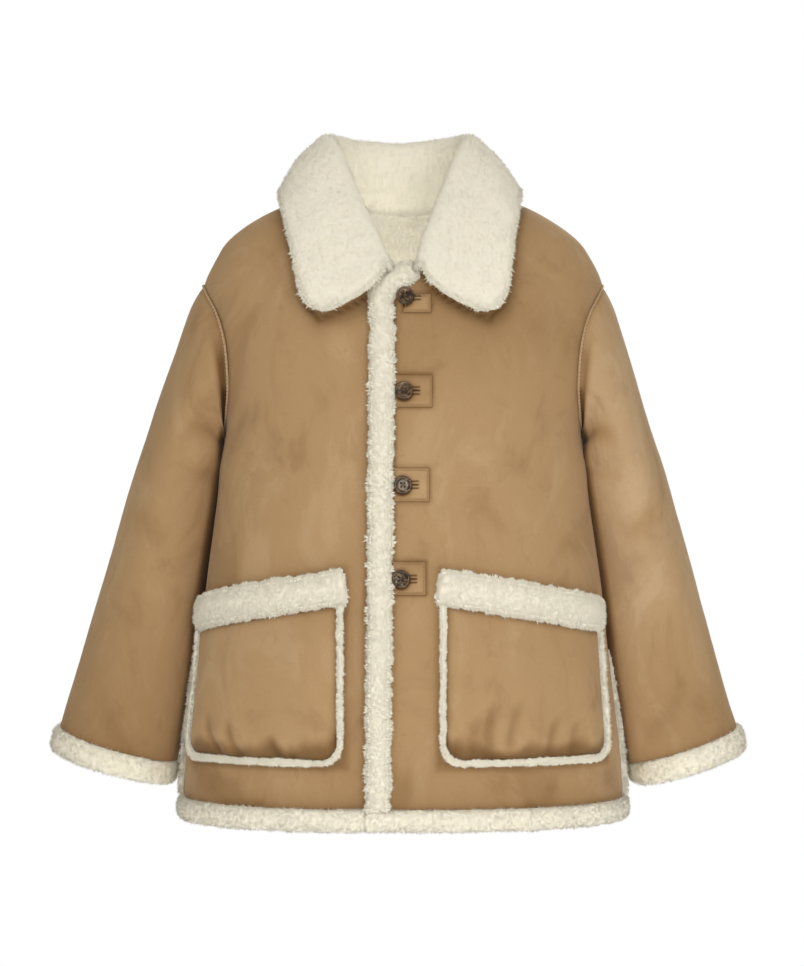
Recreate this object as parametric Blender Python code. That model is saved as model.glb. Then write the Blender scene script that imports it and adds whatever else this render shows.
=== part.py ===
"""Shearling coat, filled out and hollow, with its left front buttoned over its right front.

Metres, +Z up. X runs to the wearer's left, the front faces -Y, and the origin is midway
between the two points where the shoulder seams meet the neck.
The body is a stack of horizontal sections. Each is half an oval in front and half behind, and
every panel, band, pocket and patch is read from that one surface and moved out from it.
"""
import math

import bpy
import numpy as np

COLLECTION = "shearling_coat"

# ---- driving dimensions (metres) ----
WALL = 0.005                 # suede with its fleece inside
SEAM_GAP = 0.0003            # between two sewn pieces
LIFT = 0.0005                # from a panel to what is sewn on it
SECTION_POWER = 2.3          # 2 is an ellipse, more is squarer
HEM_Z = -0.6955              # where the suede ends
NECK_HALF_WIDTH = 0.078
FRONT_NECK_DROP = 0.106
BACK_NECK_DROP = 0.022
SHOULDER_TIP_Z = -0.111
UNDERARM_Z = -0.283
ARMHOLE_HALF_DEPTH = 0.075
SLIT_TOP_Z = -0.530
SLIT_HALF_GAP = 0.0016
LEFT_EDGE_TOP = -0.0345      # edge of the overlapping front, from the centre line
LEFT_EDGE_HEM = -0.0400
RIGHT_EDGE = 0.032           # hidden edge of the front that lies under
OVERLAP_SINK = WALL + 0.0012
OVERLAP_RAMP = 0.055

# Body sections: height, half width, depth of the front half, depth of the back half.
BODY_SECTIONS = (
    # z,     width, front, back
    (0.000, 0.0780, 0.046, 0.046),
    (-0.022, 0.1390, 0.064, 0.065),
    (-0.041, 0.1750, 0.079, 0.081),
    (-0.064, 0.2040, 0.094, 0.096),
    (-0.081, 0.2150, 0.104, 0.106),
    (-0.111, 0.2285, 0.118, 0.120),
    (-0.150, 0.2285, 0.130, 0.132),
    (-0.200, 0.2230, 0.139, 0.139),
    (-0.245, 0.2120, 0.143, 0.141),
    (-0.283, 0.2040, 0.145, 0.140),
    (-0.338, 0.2100, 0.146, 0.139),
    (-0.391, 0.2175, 0.147, 0.139),
    (-0.460, 0.2270, 0.148, 0.141),
    (-0.541, 0.2360, 0.150, 0.144),
    (-0.644, 0.2490, 0.152, 0.148),
    (-0.735, 0.2530, 0.153, 0.150),
)

# Sleeve rings from the shoulder cap to the cuff: the outermost and the innermost point in the
# front view, half the depth, how far the ring bends towards the body in front and behind, the
# shift of its middle along Y, and how far its front hangs lower than its back.
SLEEVE_RINGS = (
    # out_x, out_z,   in_x,   in_z,  depth,  bend, shift,  drop
    (0.2415, -0.1350, 0.2080, -0.2870, 0.0775, 0.012, 0.003, 0.000),
    (0.2545, -0.1730, 0.2095, -0.2910, 0.0800, 0.006, 0.008, 0.000),
    (0.2680, -0.2150, 0.2105, -0.2970, 0.0815, 0.002, 0.014, 0.000),
    (0.2840, -0.2680, 0.2115, -0.3080, 0.0815, 0.000, 0.020, 0.000),
    (0.3030, -0.3250, 0.2145, -0.3500, 0.0790, 0.000, 0.027, 0.000),
    (0.3200, -0.3800, 0.2210, -0.4080, 0.0755, 0.000, 0.031, 0.001),
    (0.3355, -0.4350, 0.2290, -0.4660, 0.0720, 0.000, 0.033, 0.001),
    (0.3510, -0.4900, 0.2360, -0.5240, 0.0680, 0.000, 0.033, 0.002),
    (0.3660, -0.5450, 0.2450, -0.5810, 0.0630, 0.000, 0.031, 0.003),
    (0.3870, -0.6190, 0.2620, -0.6570, 0.0570, 0.000, 0.028, 0.005),
)
SLEEVE_REACH = 0.5           # drop over which the right sleeve's outer line spreads
RIGHT_SLEEVE_SPREAD = 0.0105  # how much further out the right cuff hangs than the left
CUFF_BAND_HEIGHT = 0.0270
CUFF_BAND_THICKNESS = 0.0150
HEM_BAND_HEIGHT = 0.0232
HEM_BAND_THICKNESS = 0.0180

# Collar, one side, from the middle of the back to the front end: the height of the neck seam, the
# fold and the outer edge, the last two as points in the middle of the collar's thickness. It
# isn't worn quite in the middle, so its shifts give a height and a sideways shift.
COLLAR_THICKNESS = 0.0100
COLLAR_SEAM_THICKNESS = 0.0045
COLLAR_LIFT = 0.0042
FOLD_RADIUS = 0.0070
COLLAR_STATIONS = (
    # neck_z,  fold x, y, z,            edge x, y, z,             size
    (-0.0220, 0.0000, 0.0770, 0.0515, 0.0000, 0.0965, -0.0400, 1.00),
    (-0.0189, 0.0430, 0.0690, 0.0525, 0.0620, 0.0900, -0.0360, 1.00),
    (-0.0097, 0.0720, 0.0380, 0.0530, 0.1080, 0.0600, -0.0200, 1.00),
    (-0.0040, 0.0830, 0.0040, 0.0490, 0.1335, 0.0080, -0.0055, 1.00),
    (-0.0200, 0.0745, -0.0240, 0.0330, 0.1340, -0.0440, -0.0190, 1.00),
    (-0.0500, 0.0580, -0.0560, -0.0100, 0.1240, -0.0960, -0.0700, 1.00),
    (-0.0810, 0.0385, -0.0890, -0.0560, 0.1160, -0.1235, -0.1190, 0.90),
    (-0.1000, 0.0185, -0.1245, -0.1010, 0.0940, -0.1390, -0.1540, 0.64),
)
COLLAR_BACK_STATIONS = 3
COLLAR_SHIFTS = ((0.060, -0.0055), (-0.060, -0.0025), (-0.095, 0.0), (-0.150, 0.0010))
COLLAR_BOW = 0.006           # how far the fall swells out between fold and edge
COLLAR_FRONT_BOW = 0.0150    # how far the front edge bows out between the throat and the point
COLLAR_BOW_ROWS = 4          # rows over which that bow fades
COLLAR_HALF_ROWS = 17
STAND_STEPS = 3
FOLD_STEPS = 5
FALL_STEPS = 5

# Placket fur: its outer edge runs down the front edge, and its top bends to the throat.
PLACKET_WIDTH = 0.0265
PLACKET_HEIGHT = 0.0070
THROAT_ROUND = 0.026         # height over which the front edge rounds in
THROAT_X = 0.0010
THROAT_Z = -0.1030

# Buttons and their patches
BUTTON_RADIUS = 0.0100
BUTTON_THICKNESS = 0.0034
BUTTONS = (
    # button x, z,     patch left, patch right, patch bottom, patch top
    (0.0022, -0.1330, 0.0000, 0.0310, -0.1510, -0.1300),
    (0.0010, -0.2370, -0.0095, 0.0320, -0.2552, -0.2196),
    (-0.0002, -0.3400, -0.0103, 0.0290, -0.3585, -0.3214),
    (-0.0022, -0.4430, -0.0113, 0.0250, -0.4608, -0.4238),
)
PATCH_THICKNESS = 0.0014

# Pockets, measured round the front from the centre line
POCKET_WIDTH = 0.2150
POCKET_INNER = {"right": 0.0635, "left": 0.0385}
POCKET_TOP_INNER_Z = -0.4310
POCKET_TOP_OUTER_Z = -0.4670
POCKET_BOTTOM_Z = -0.6500
POCKET_CORNER = 0.026
POCKET_BAND_HEIGHT = 0.0400
POCKET_BAND_THICKNESS = 0.0110
POCKET_PANEL_THICKNESS = 0.0045
POCKET_EDGING_WIDTH = 0.0105
POCKET_EDGING_HEIGHT = 0.0070
SLIT_TRIM_WIDTH = 0.0080
SLIT_TRIM_HEIGHT = 0.0060
POCKET_CROWN = 0.0035
POCKET_SLOPE = (POCKET_TOP_INNER_Z - POCKET_TOP_OUTER_Z) / POCKET_WIDTH
POCKET_BAND_DROP = POCKET_BAND_HEIGHT * math.hypot(1.0, POCKET_SLOPE)
POCKET_BAND_OVERHANG = 0.0010
PLACKET_OVERHANG = 0.0010
PLACKET_TURN_Z = -0.128
PLACKET_TOP_SIZES = (0.95, 0.8, 0.6, 0.5, 0.5, 0.4)

# ---- how finely each piece is divided ----
ARMHOLE_ROWS = 12
SLEEVE_COLUMNS = 2 * (ARMHOLE_ROWS - 1)
FRONT_COLUMNS = 12
BACK_COLUMNS = 21
FRONT_SHOULDER_ROWS = (-0.106, -0.102, -0.093, -0.080, -0.066, -0.050, -0.034, -0.018, -0.004)
BACK_SHOULDER_ROWS = (0.2, 0.4, 0.6, 0.8, 1.0)
BACK_TOP_Z = -0.004
SLEEVE_ROWS = 12
BAND_STEPS = 10
BAND_POWER = 2.6
BAND_END_PLACES = (0.0, 0.003)
BAND_END_SIZES = (0.62, 0.9)
BAND_SEAM_SIZES = (0.93, 1.0)
# A strip's outline: place across its width, and height.
STRIP_PROFILE = ((0.0, 0.0), (-0.5, 0.0), (-0.49, 0.55), (-0.36, 0.9), (0.0, 1.0), (0.36, 0.9),
                 (0.49, 0.55), (0.5, 0.0))

MATERIALS = {
    # name: colour, roughness
    "suede": ((0.405, 0.257, 0.127, 1.0), 0.85),
    "fleece": ((0.80, 0.76, 0.64, 1.0), 0.95),
    "horn": ((0.10, 0.065, 0.045, 1.0), 0.25),
}


# ---- smooth tables ----
def smooth(table_x, table_y, x):
    """Cubic curve through the rows of a table, with the slope at a row taken from its neighbours."""
    table_x = np.asarray(table_x, dtype=float)
    table_y = np.asarray(table_y, dtype=float)
    if table_x[0] > table_x[-1]:
        table_x, table_y = table_x[::-1], table_y[::-1]
    steps = np.diff(table_y) / np.diff(table_x)
    slopes = np.zeros(len(table_x))
    slopes[0], slopes[-1] = steps[0], steps[-1]
    before, after = np.diff(table_x)[:-1], np.diff(table_x)[1:]
    slopes[1:-1] = (steps[:-1] * after + steps[1:] * before) / (before + after)
    x = np.clip(np.asarray(x, dtype=float), table_x[0], table_x[-1])
    row = np.clip(np.searchsorted(table_x, x) - 1, 0, len(table_x) - 2)
    span = table_x[row + 1] - table_x[row]
    t = (x - table_x[row]) / span
    return ((2 * t**3 - 3 * t**2 + 1) * table_y[row] + (t**3 - 2 * t**2 + t) * span * slopes[row]
            + (3 * t**2 - 2 * t**3) * table_y[row + 1] + (t**3 - t**2) * span * slopes[row + 1])


def smooth_points(points, count):
    """The same curve through points in space, read at evenly spaced places along it."""
    points = np.asarray(points, dtype=float)
    at = np.concatenate(([0.0], np.cumsum(np.linalg.norm(np.diff(points, axis=0), axis=1))))
    read = np.linspace(0.0, at[-1], count)
    return np.stack([smooth(at, points[:, axis], read) for axis in range(points.shape[1])], axis=1)


# ---- the body's surface ----
BODY = np.array(BODY_SECTIONS)
QUARTER = np.linspace(0.0, math.pi / 2, 181)


def half_section(z, front):
    """Points of one quarter of the section at height z, from the centre line to the side."""
    width = smooth(BODY[:, 0], BODY[:, 1], z)
    depth = smooth(BODY[:, 0], BODY[:, 2 if front else 3], z)
    x = width * np.sin(QUARTER) ** (2 / SECTION_POWER)
    y = depth * np.cos(QUARTER) ** (2 / SECTION_POWER)
    arc = np.concatenate(([0.0], np.cumsum(np.hypot(np.diff(x), np.diff(y)))))
    return x, y, arc


def arc_length(z, front):
    """Distance round the section from the centre line to the side."""
    return half_section(z, front)[2][-1]


def arc_at_x(z, x, front):
    """Distance round the section at which it is x from the centre line."""
    across, _, arc = half_section(z, front)
    return float(np.interp(x, across, arc))


def arc_at_depth(z, depth, front):
    """Distance round the section at which it is only that deep."""
    _, deep, arc = half_section(z, front)
    return float(np.interp(depth, deep[::-1], arc[::-1]))


def at_fraction(z, fraction, front):
    """Point at a signed fraction of the way from the centre line to the side."""
    x, y, arc = half_section(z, front)
    place = abs(fraction) * arc[-1]
    across = np.interp(place, arc, x)
    deep = np.interp(place, arc, y)
    return np.array((math.copysign(across, fraction), -deep if front else deep, z))


def body_point(s, z, front=True, out=0.0):
    """Point at distance s round the section at height z, moved out from the surface."""
    fraction = np.clip(s / arc_length(z, front), -1.0, 1.0)
    here = at_fraction(z, fraction, front)
    if out == 0.0:
        return here
    return here + out * body_normal(fraction, z, front)


def body_normal(fraction, z, front):
    """Outward normal of the body's surface, from small steps along it and up it."""
    step = 0.004
    low, high = max(fraction - step, -1.0), min(fraction + step, 1.0)
    along = at_fraction(z, high, front) - at_fraction(z, low, front)
    if abs(fraction) > 1.0 - step:
        along = np.array((0.0, 1.0, 0.0))
    up = at_fraction(z + 0.002, fraction, front) - at_fraction(z - 0.002, fraction, front)
    normal = np.cross(along, up)
    normal /= np.linalg.norm(normal)
    outward = np.array((at_fraction(z, fraction, front)[0], at_fraction(z, fraction, front)[1], 0.0))
    return normal if np.dot(normal, outward) > 0 else -normal


# ---- mesh helpers ----
def material(name):
    """The piece's material, made once."""
    if name in bpy.data.materials:
        return bpy.data.materials[name]
    colour, roughness = MATERIALS[name]
    made = bpy.data.materials.new(name)
    made.use_nodes = True
    shader = made.node_tree.nodes["Principled BSDF"]
    shader.inputs["Base Color"].default_value = colour
    shader.inputs["Roughness"].default_value = roughness
    shader.inputs["Metallic"].default_value = 0.0
    return made


def add_object(name, vertices, faces, finish, collection):
    """One closed solid from its points and faces, with the faces turned outwards."""
    mesh = bpy.data.meshes.new(name)
    mesh.from_pydata([tuple(point) for point in vertices], [], faces)
    mesh.materials.append(material(finish))
    made = bpy.data.objects.new(name, mesh)
    collection.objects.link(made)
    bpy.context.view_layer.objects.active = made
    made.select_set(True)
    bpy.ops.object.mode_set(mode="EDIT")
    bpy.ops.mesh.select_all(action="SELECT")
    bpy.ops.mesh.normals_make_consistent(inside=False)
    bpy.ops.object.mode_set(mode="OBJECT")
    made.select_set(False)
    mesh.shade_smooth()
    mesh.set_sharp_from_angle(angle=math.radians(40))
    return made


def add_wall(name, outer, inner, finish, collection, closed=False):
    """A wall between two grids of points. A closed one is a tube with its last column joined on."""
    outer, inner = np.asarray(outer), np.asarray(inner)
    rows, columns = outer.shape[:2]
    half = rows * columns
    faces = []
    last = columns if closed else columns - 1
    for row in range(rows - 1):
        for column in range(last):
            a = row * columns + column
            b = row * columns + (column + 1) % columns
            c, d = b + columns, a + columns
            faces.append((a, b, c, d))
            faces.append((d + half, c + half, b + half, a + half))
    rim = [(row * columns + column, row * columns + (column + 1) % columns)
           for row in (0, rows - 1) for column in range(last)]
    if not closed:
        rim += [(row * columns + column, (row + 1) * columns + column)
                for column in (0, columns - 1) for row in range(rows - 1)]
    faces += [(a, b, b + half, a + half) for a, b in rim]
    points = np.concatenate((outer.reshape(-1, 3), inner.reshape(-1, 3)))
    return add_object(name, points, faces, finish, collection)


def add_sweep(name, rings, finish, collection, closed=False):
    """A solid through rings of points. Its ends are capped, or joined on each other if closed."""
    rings = np.asarray(rings)
    count, around = rings.shape[:2]
    faces = []
    for ring in range(count if closed else count - 1):
        following = (ring + 1) % count
        for side in range(around):
            other = (side + 1) % around
            faces.append((ring * around + side, ring * around + other,
                          following * around + other, following * around + side))
    if not closed:
        faces.append(tuple(range(around)))
        faces.append(tuple((count - 1) * around + side for side in range(around)))
    return add_object(name, rings.reshape(-1, 3), faces, finish, collection)


# ---- body panels ----
def sunk(s, z):
    """How far the front that lies under is pressed in, towards the edge that covers it."""
    start = front_edge(z) - OVERLAP_RAMP
    t = min(max((s - start) / OVERLAP_RAMP, 0.0), 1.0)
    return OVERLAP_SINK * t * t * (3 - 2 * t)


def front_edge(z):
    """Where the overlapping front ends at height z, from the centre line."""
    t = (z - SHOULDER_TIP_Z) / (HEM_Z - SHOULDER_TIP_Z)
    return LEFT_EDGE_TOP + (LEFT_EDGE_HEM - LEFT_EDGE_TOP) * min(max(t, 0.0), 1.0)


def turned_in(straight, z):
    """The front edge rounded in to the throat, over the last stretch below the neckline."""
    t = (z + FRONT_NECK_DROP + THROAT_ROUND) / THROAT_ROUND
    t = min(max(t, 0.0), 1.0)
    return straight * math.sqrt(1.0 - t * t)


def armhole_depth(z, spare=0.0):
    """Half the armhole's width at height z, as half of an oval standing on end."""
    middle = (SHOULDER_TIP_Z + UNDERARM_Z) / 2
    half_height = (SHOULDER_TIP_Z - UNDERARM_Z) / 2 + spare
    t = (z - middle) / half_height
    return (ARMHOLE_HALF_DEPTH + spare) * math.sqrt(max(1.0 - t * t, 0.0))


def neck_half_width(z, front):
    """Half the width of the neck opening at height z."""
    drop = FRONT_NECK_DROP if front else BACK_NECK_DROP
    t = min(-z / drop, 1.0)
    return NECK_HALF_WIDTH * math.sqrt(max(1.0 - t * t, 0.0))


def side_limit(z, front):
    """Distance round the section to the side seam, the armhole or the shoulder seam."""
    end = arc_length(z, front)
    if z < SLIT_TOP_Z:
        return end - SLIT_HALF_GAP
    if UNDERARM_Z < z < SHOULDER_TIP_Z:
        return min(arc_at_depth(z, armhole_depth(z), front), end - SEAM_GAP / 2)
    return end - SEAM_GAP / 2


def panel_heights():
    """Row heights from the hem up, closer together at the ends of the armhole."""
    low = np.linspace(HEM_Z, UNDERARM_Z - 0.02, 9)
    low[np.argmin(np.abs(low - SLIT_TOP_Z))] = SLIT_TOP_Z
    middle = (SHOULDER_TIP_Z + UNDERARM_Z) / 2
    half_height = (SHOULDER_TIP_Z - UNDERARM_Z) / 2
    armhole = middle - half_height * np.cos(np.linspace(0.0, math.pi, ARMHOLE_ROWS))
    return list(low) + list(armhole)


def add_front(name, side, collection):
    """Half of the coat's front. Side is 1 for the wearer's left and -1 for the right."""
    outer, inner = [], []
    for z in panel_heights() + list(FRONT_SHOULDER_ROWS):
        if z > -FRONT_NECK_DROP:
            inner_limit = side * arc_at_x(z, neck_half_width(z, True), True)
        else:
            inner_limit = turned_in(front_edge(z) if side > 0 else RIGHT_EDGE, z)
        outer_limit = side * side_limit(z, True)
        places = inner_limit + (outer_limit - inner_limit) * np.linspace(0.0, 1.0, FRONT_COLUMNS)
        depths = [sunk(s, z) if side < 0 else 0.0 for s in places]
        outer.append([body_point(s, z, True, -deep) for s, deep in zip(places, depths)])
        inner.append([body_point(s, z, True, -deep - WALL) for s, deep in zip(places, depths)])
    return add_wall(name, outer, inner, "suede", collection)


def back_neckline(fraction):
    """Height of the back neckline at a fraction of the way round to the shoulder seam."""
    heights = np.linspace(-BACK_NECK_DROP, BACK_TOP_Z, 24)
    fractions = [arc_at_x(z, neck_half_width(z, False), False) / arc_length(z, False)
                 for z in heights]
    return float(np.interp(abs(fraction), fractions, heights))


def add_back(collection):
    """The back in one piece. Its top rows bend up from the neckline to the shoulders."""
    outer, inner = [], []
    fractions = np.linspace(-1.0, 1.0, BACK_COLUMNS)
    rows = [(z, 0.0) for z in panel_heights()] + [(SHOULDER_TIP_Z, t) for t in BACK_SHOULDER_ROWS]
    for base, rise in rows:
        outer_row, inner_row = [], []
        for fraction in fractions:
            z = base + (back_neckline(fraction) - base) * rise
            s = fraction * side_limit(z, False)
            outer_row.append(body_point(s, z, False))
            inner_row.append(body_point(s, z, False, -WALL))
        outer.append(outer_row)
        inner.append(inner_row)
    return add_wall("back", outer, inner, "suede", collection)


# ---- sleeves ----
def armhole_ring():
    """The sleeve's first ring, just inside the armhole: its points and the body's normals there."""
    middle = (SHOULDER_TIP_Z + UNDERARM_Z) / 2
    half_height = (SHOULDER_TIP_Z - UNDERARM_Z) / 2 - SEAM_GAP
    points, normals = [], []
    for angle in np.arange(SLEEVE_COLUMNS) * 2 * math.pi / SLEEVE_COLUMNS:
        z = middle + half_height * math.cos(angle)
        front = math.sin(angle) >= 0.0
        depth = armhole_depth(z, -SEAM_GAP)
        s = arc_at_depth(z, depth, front)
        points.append(body_point(s, z, front))
        normals.append(body_normal(s / arc_length(z, front), z, front))
    return np.array(points), np.array(normals)


def sleeve_ring(row, spread):
    """One ring of the sleeve from a row of the table, its outer point moved out by the spread."""
    out_x, out_z, in_x, in_z, depth, bend, shift, drop = row
    out_x += spread * math.sqrt((SHOULDER_TIP_Z - out_z) / SLEEVE_REACH)
    angle = np.arange(SLEEVE_COLUMNS) * 2 * math.pi / SLEEVE_COLUMNS
    half = np.array(((out_x - in_x) / 2, (out_z - in_z) / 2))
    across = np.array((-half[1], half[0])) / np.linalg.norm(half)
    sine, cosine = np.sin(angle), np.cos(angle)
    x = (out_x + in_x) / 2 + half[0] * cosine + across[0] * bend * sine**2
    z = (out_z + in_z) / 2 + half[1] * cosine + across[1] * bend * sine**2 - drop * sine
    return np.stack((x, shift - depth * sine, z), axis=1)


def grid_normals(grid, closed):
    """Unit normals of a grid of points from the differences along its rows and columns."""
    along = np.gradient(grid, axis=0)
    if closed:
        across = np.roll(grid, -1, axis=1) - np.roll(grid, 1, axis=1)
    else:
        across = np.gradient(grid, axis=1)
    normals = np.cross(along, across)
    return normals / np.linalg.norm(normals, axis=2, keepdims=True)


def sleeve_grids(side):
    """Outer points, inner points and normals of a sleeve, as if on the wearer's left."""
    spread = 0.0 if side > 0 else RIGHT_SLEEVE_SPREAD
    first, body_normals = armhole_ring()
    table = smooth_points(SLEEVE_RINGS, SLEEVE_ROWS)
    outer = np.array([first] + [sleeve_ring(row, spread) for row in table])
    normals = grid_normals(outer, closed=True)
    centres = outer.mean(axis=1, keepdims=True)
    if np.sum(normals * (outer - centres)) < 0:
        normals = -normals
    angle = np.arange(SLEEVE_COLUMNS) * 2 * math.pi / SLEEVE_COLUMNS
    share = np.clip(0.5 + 1.5 * (np.cos(angle) + 0.35), 0.0, 1.0)[:, None]
    mixed = share * body_normals + (1 - share) * normals[0]
    normals[0] = mixed / np.linalg.norm(mixed, axis=1, keepdims=True)
    return outer, outer - WALL * normals, normals


def mirrored(points, side):
    """The points themselves on the wearer's left, or their mirror image on the right."""
    return points * np.array((side, 1.0, 1.0))


def add_sleeve(name, side, collection):
    """One sleeve from its armhole to its cuff band."""
    outer, inner, _ = sleeve_grids(side)
    return add_wall(name, mirrored(outer, side), mirrored(inner, side), "suede", collection, True)


def oval_profile(half_thickness, half_height, steps):
    """Points of a squarish oval, as pairs of distances out and down."""
    angle = np.arange(steps) * 2 * math.pi / steps
    power = 2 / BAND_POWER
    across = np.sign(np.cos(angle)) * np.abs(np.cos(angle)) ** power * half_thickness
    down = np.sign(np.sin(angle)) * np.abs(np.sin(angle)) ** power * half_height
    return np.stack((across, down), axis=1)


def add_cuff(name, side, collection):
    """The fleece band at the end of a sleeve."""
    outer, inner, normals = sleeve_grids(side)
    last, normal = (outer[-1] + inner[-1]) / 2, normals[-1]
    axis = outer[-1].mean(axis=0) - outer[-2].mean(axis=0)
    axis /= np.linalg.norm(axis)
    normal = normal - np.sum(normal * axis, axis=1, keepdims=True) * axis
    normal /= np.linalg.norm(normal, axis=1, keepdims=True)
    middle = last + axis * (SEAM_GAP + CUFF_BAND_HEIGHT / 2)
    profile = oval_profile(CUFF_BAND_THICKNESS / 2, CUFF_BAND_HEIGHT / 2, BAND_STEPS)
    rings = np.array([[mirrored(point + out * n + down * axis, side) for out, down in profile]
                      for point, n in zip(middle, normal)])
    return add_sweep(name, rings, "fleece", collection, closed=True)


# ---- bands on the hem ----
def add_hem_band(name, start, end, front, count, sizes_at_start, collection):
    """A fleece band under the hem between two places round the section, rounded at its ends."""
    profile = oval_profile(HEM_BAND_THICKNESS / 2, HEM_BAND_HEIGHT / 2, BAND_STEPS)
    ends = np.array(BAND_END_PLACES)
    places = np.concatenate((start + np.sign(end - start) * ends,
                             np.linspace(start, end, count)[1:-1],
                             end - np.sign(end - start) * ends[::-1]))
    sizes = np.concatenate((sizes_at_start, np.ones(count - 2), BAND_END_SIZES[::-1]))
    rings = []
    for s, size in zip(places, sizes):
        normal = body_normal(np.clip(s / arc_length(HEM_Z, front), -1, 1), HEM_Z, front)
        normal = np.array((normal[0], normal[1], 0.0)) / math.hypot(normal[0], normal[1])
        middle = body_point(s, HEM_Z, front) - normal * WALL / 2
        middle[2] = HEM_Z - SEAM_GAP - HEM_BAND_HEIGHT / 2
        rings.append([middle + size * (out * normal - np.array((0.0, 0.0, down)))
                      for out, down in profile])
    return add_sweep(name, rings, "fleece", collection)


# ---- strips and patches that lie on the body ----
def add_strip(name, path, width, height, front, finish, collection, ends=(0.35, 0.8), last=None):
    """A raised strip on the body. Its path is in distance round the section and height."""
    path = np.asarray(path, dtype=float)
    along = np.gradient(path, axis=0)
    along /= np.linalg.norm(along, axis=1, keepdims=True)
    across = np.stack((-along[:, 1], along[:, 0]), axis=1)
    sizes = np.ones(len(path))
    sizes[: len(ends)] = ends
    last = last or ends[::-1]
    sizes[-len(last):] = last
    rings = []
    for place, direction, size in zip(path, across, sizes):
        ring = []
        for share, rise in STRIP_PROFILE:
            s, z = place + direction * share * width * (0.75 + 0.25 * size)
            ring.append(body_point(s, z, front, LIFT + rise * height * size))
        rings.append(ring)
    return add_sweep(name, rings, finish, collection)


def pocket_top(t):
    """Height of the pocket's top at a share of the way from its inner side to its outer side."""
    return POCKET_TOP_INNER_Z + (POCKET_TOP_OUTER_Z - POCKET_TOP_INNER_Z) * t


def pocket_side(side, t):
    """Place round the section at a share of the pocket's width from its inner side."""
    inner = POCKET_INNER["left" if side > 0 else "right"]
    return side * (inner + POCKET_WIDTH * t)


def corner_rise(distance, radius):
    """How far a rounded bottom corner rises at a distance from the side it rounds into."""
    distance = min(max(distance, 0.0), radius)
    return radius - math.sqrt(radius**2 - (radius - distance) ** 2)


def add_pocket_panel(name, side, collection):
    """The pocket's suede, inside its fleece edging and under its band."""
    inset = POCKET_EDGING_WIDTH + SEAM_GAP
    radius = POCKET_CORNER - inset
    corner = np.array((0.0, 0.15, 0.5, 1.0)) * radius + inset
    middle = np.linspace(corner[-1], POCKET_WIDTH - corner[-1], 12)[1:-1]
    shares = np.concatenate((corner, middle, POCKET_WIDTH - corner[::-1])) / POCKET_WIDTH
    outer, inner = [], []
    for t in shares:
        distance = min(t, 1 - t) * POCKET_WIDTH - inset
        low = POCKET_BOTTOM_Z + inset + corner_rise(distance, radius)
        high = pocket_top(t) - POCKET_BAND_DROP - SEAM_GAP
        heights = low + (high - low) * np.linspace(0.0, 1.0, 8)
        crown = POCKET_CROWN * math.sin(math.pi * (t - shares[0]) / (shares[-1] - shares[0]))
        swell = crown * np.sin(np.linspace(0.0, math.pi, 8))
        s = pocket_side(side, t)
        inner.append([body_point(s, z, True, LIFT) for z in heights])
        outer.append([body_point(s, z, True, LIFT + POCKET_PANEL_THICKNESS + more)
                      for z, more in zip(heights, swell)])
    return add_wall(name, outer, inner, "suede", collection)


def add_pocket_band(name, side, collection):
    """The wide fleece band along the pocket's slanting top."""
    reach = POCKET_BAND_OVERHANG / POCKET_WIDTH
    shares = np.linspace(-reach, 1 + reach, 15)
    path = [(pocket_side(side, t), pocket_top(t) - POCKET_BAND_DROP / 2) for t in shares]
    return add_strip(name, path, POCKET_BAND_HEIGHT, POCKET_BAND_THICKNESS, True, "fleece",
                     collection, ends=(0.55,))


def add_pocket_edging(name, side, collection):
    """The narrow fleece edging down one side of the pocket, along its bottom and up the other."""
    half = POCKET_EDGING_WIDTH / 2
    left, right = half, POCKET_WIDTH - half
    bottom = POCKET_BOTTOM_Z + half
    radius = POCKET_CORNER - half
    start = pocket_top(left / POCKET_WIDTH) - POCKET_BAND_DROP - POCKET_SLOPE * half - SEAM_GAP
    finish = pocket_top(right / POCKET_WIDTH) - POCKET_BAND_DROP - POCKET_SLOPE * half - SEAM_GAP
    turn = np.linspace(0.0, math.pi / 2, 6)
    path = [(left, z) for z in np.linspace(start, bottom + radius, 6)[:-1]]
    path += [(left + radius * (1 - math.cos(a)), bottom + radius * (1 - math.sin(a))) for a in turn]
    path += [(d, bottom) for d in np.linspace(left + radius, right - radius, 13)[1:-1]]
    path += [(right - radius * (1 - math.sin(a)), bottom + radius * (1 - math.cos(a))) for a in turn]
    path += [(right, z) for z in np.linspace(bottom + radius, finish, 6)[1:]]
    path = [(side * (POCKET_INNER["left" if side > 0 else "right"] + d), z) for d, z in path]
    return add_strip(name, path, POCKET_EDGING_WIDTH, POCKET_EDGING_HEIGHT, True, "fleece",
                     collection, ends=(0.8,))


def add_placket(collection):
    """The fleece strip down the overlapping edge, its top turned across to the throat."""
    heights = np.linspace(HEM_Z + 0.001, PLACKET_TURN_Z, 24)
    path = [(front_edge(z) + PLACKET_WIDTH / 2 - PLACKET_OVERHANG, z) for z in heights]
    turn = smooth_points((path[-1], (-0.0140, -0.1175), (THROAT_X, THROAT_Z)), 5)
    return add_strip("placket_trim", path + list(turn[1:]), PLACKET_WIDTH, PLACKET_HEIGHT, True,
                     "fleece", collection, ends=(0.8,), last=PLACKET_TOP_SIZES)


def add_slit_trim(name, side, front, collection):
    """Fleece edging up one edge of a side slit."""
    heights = np.linspace(HEM_Z + 0.001, SLIT_TOP_Z - 0.001, 9)
    path = [(side * (side_limit(z, front) - SLIT_TRIM_WIDTH / 2), z) for z in heights]
    return add_strip(name, path, SLIT_TRIM_WIDTH, SLIT_TRIM_HEIGHT, front, "fleece", collection)


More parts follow.
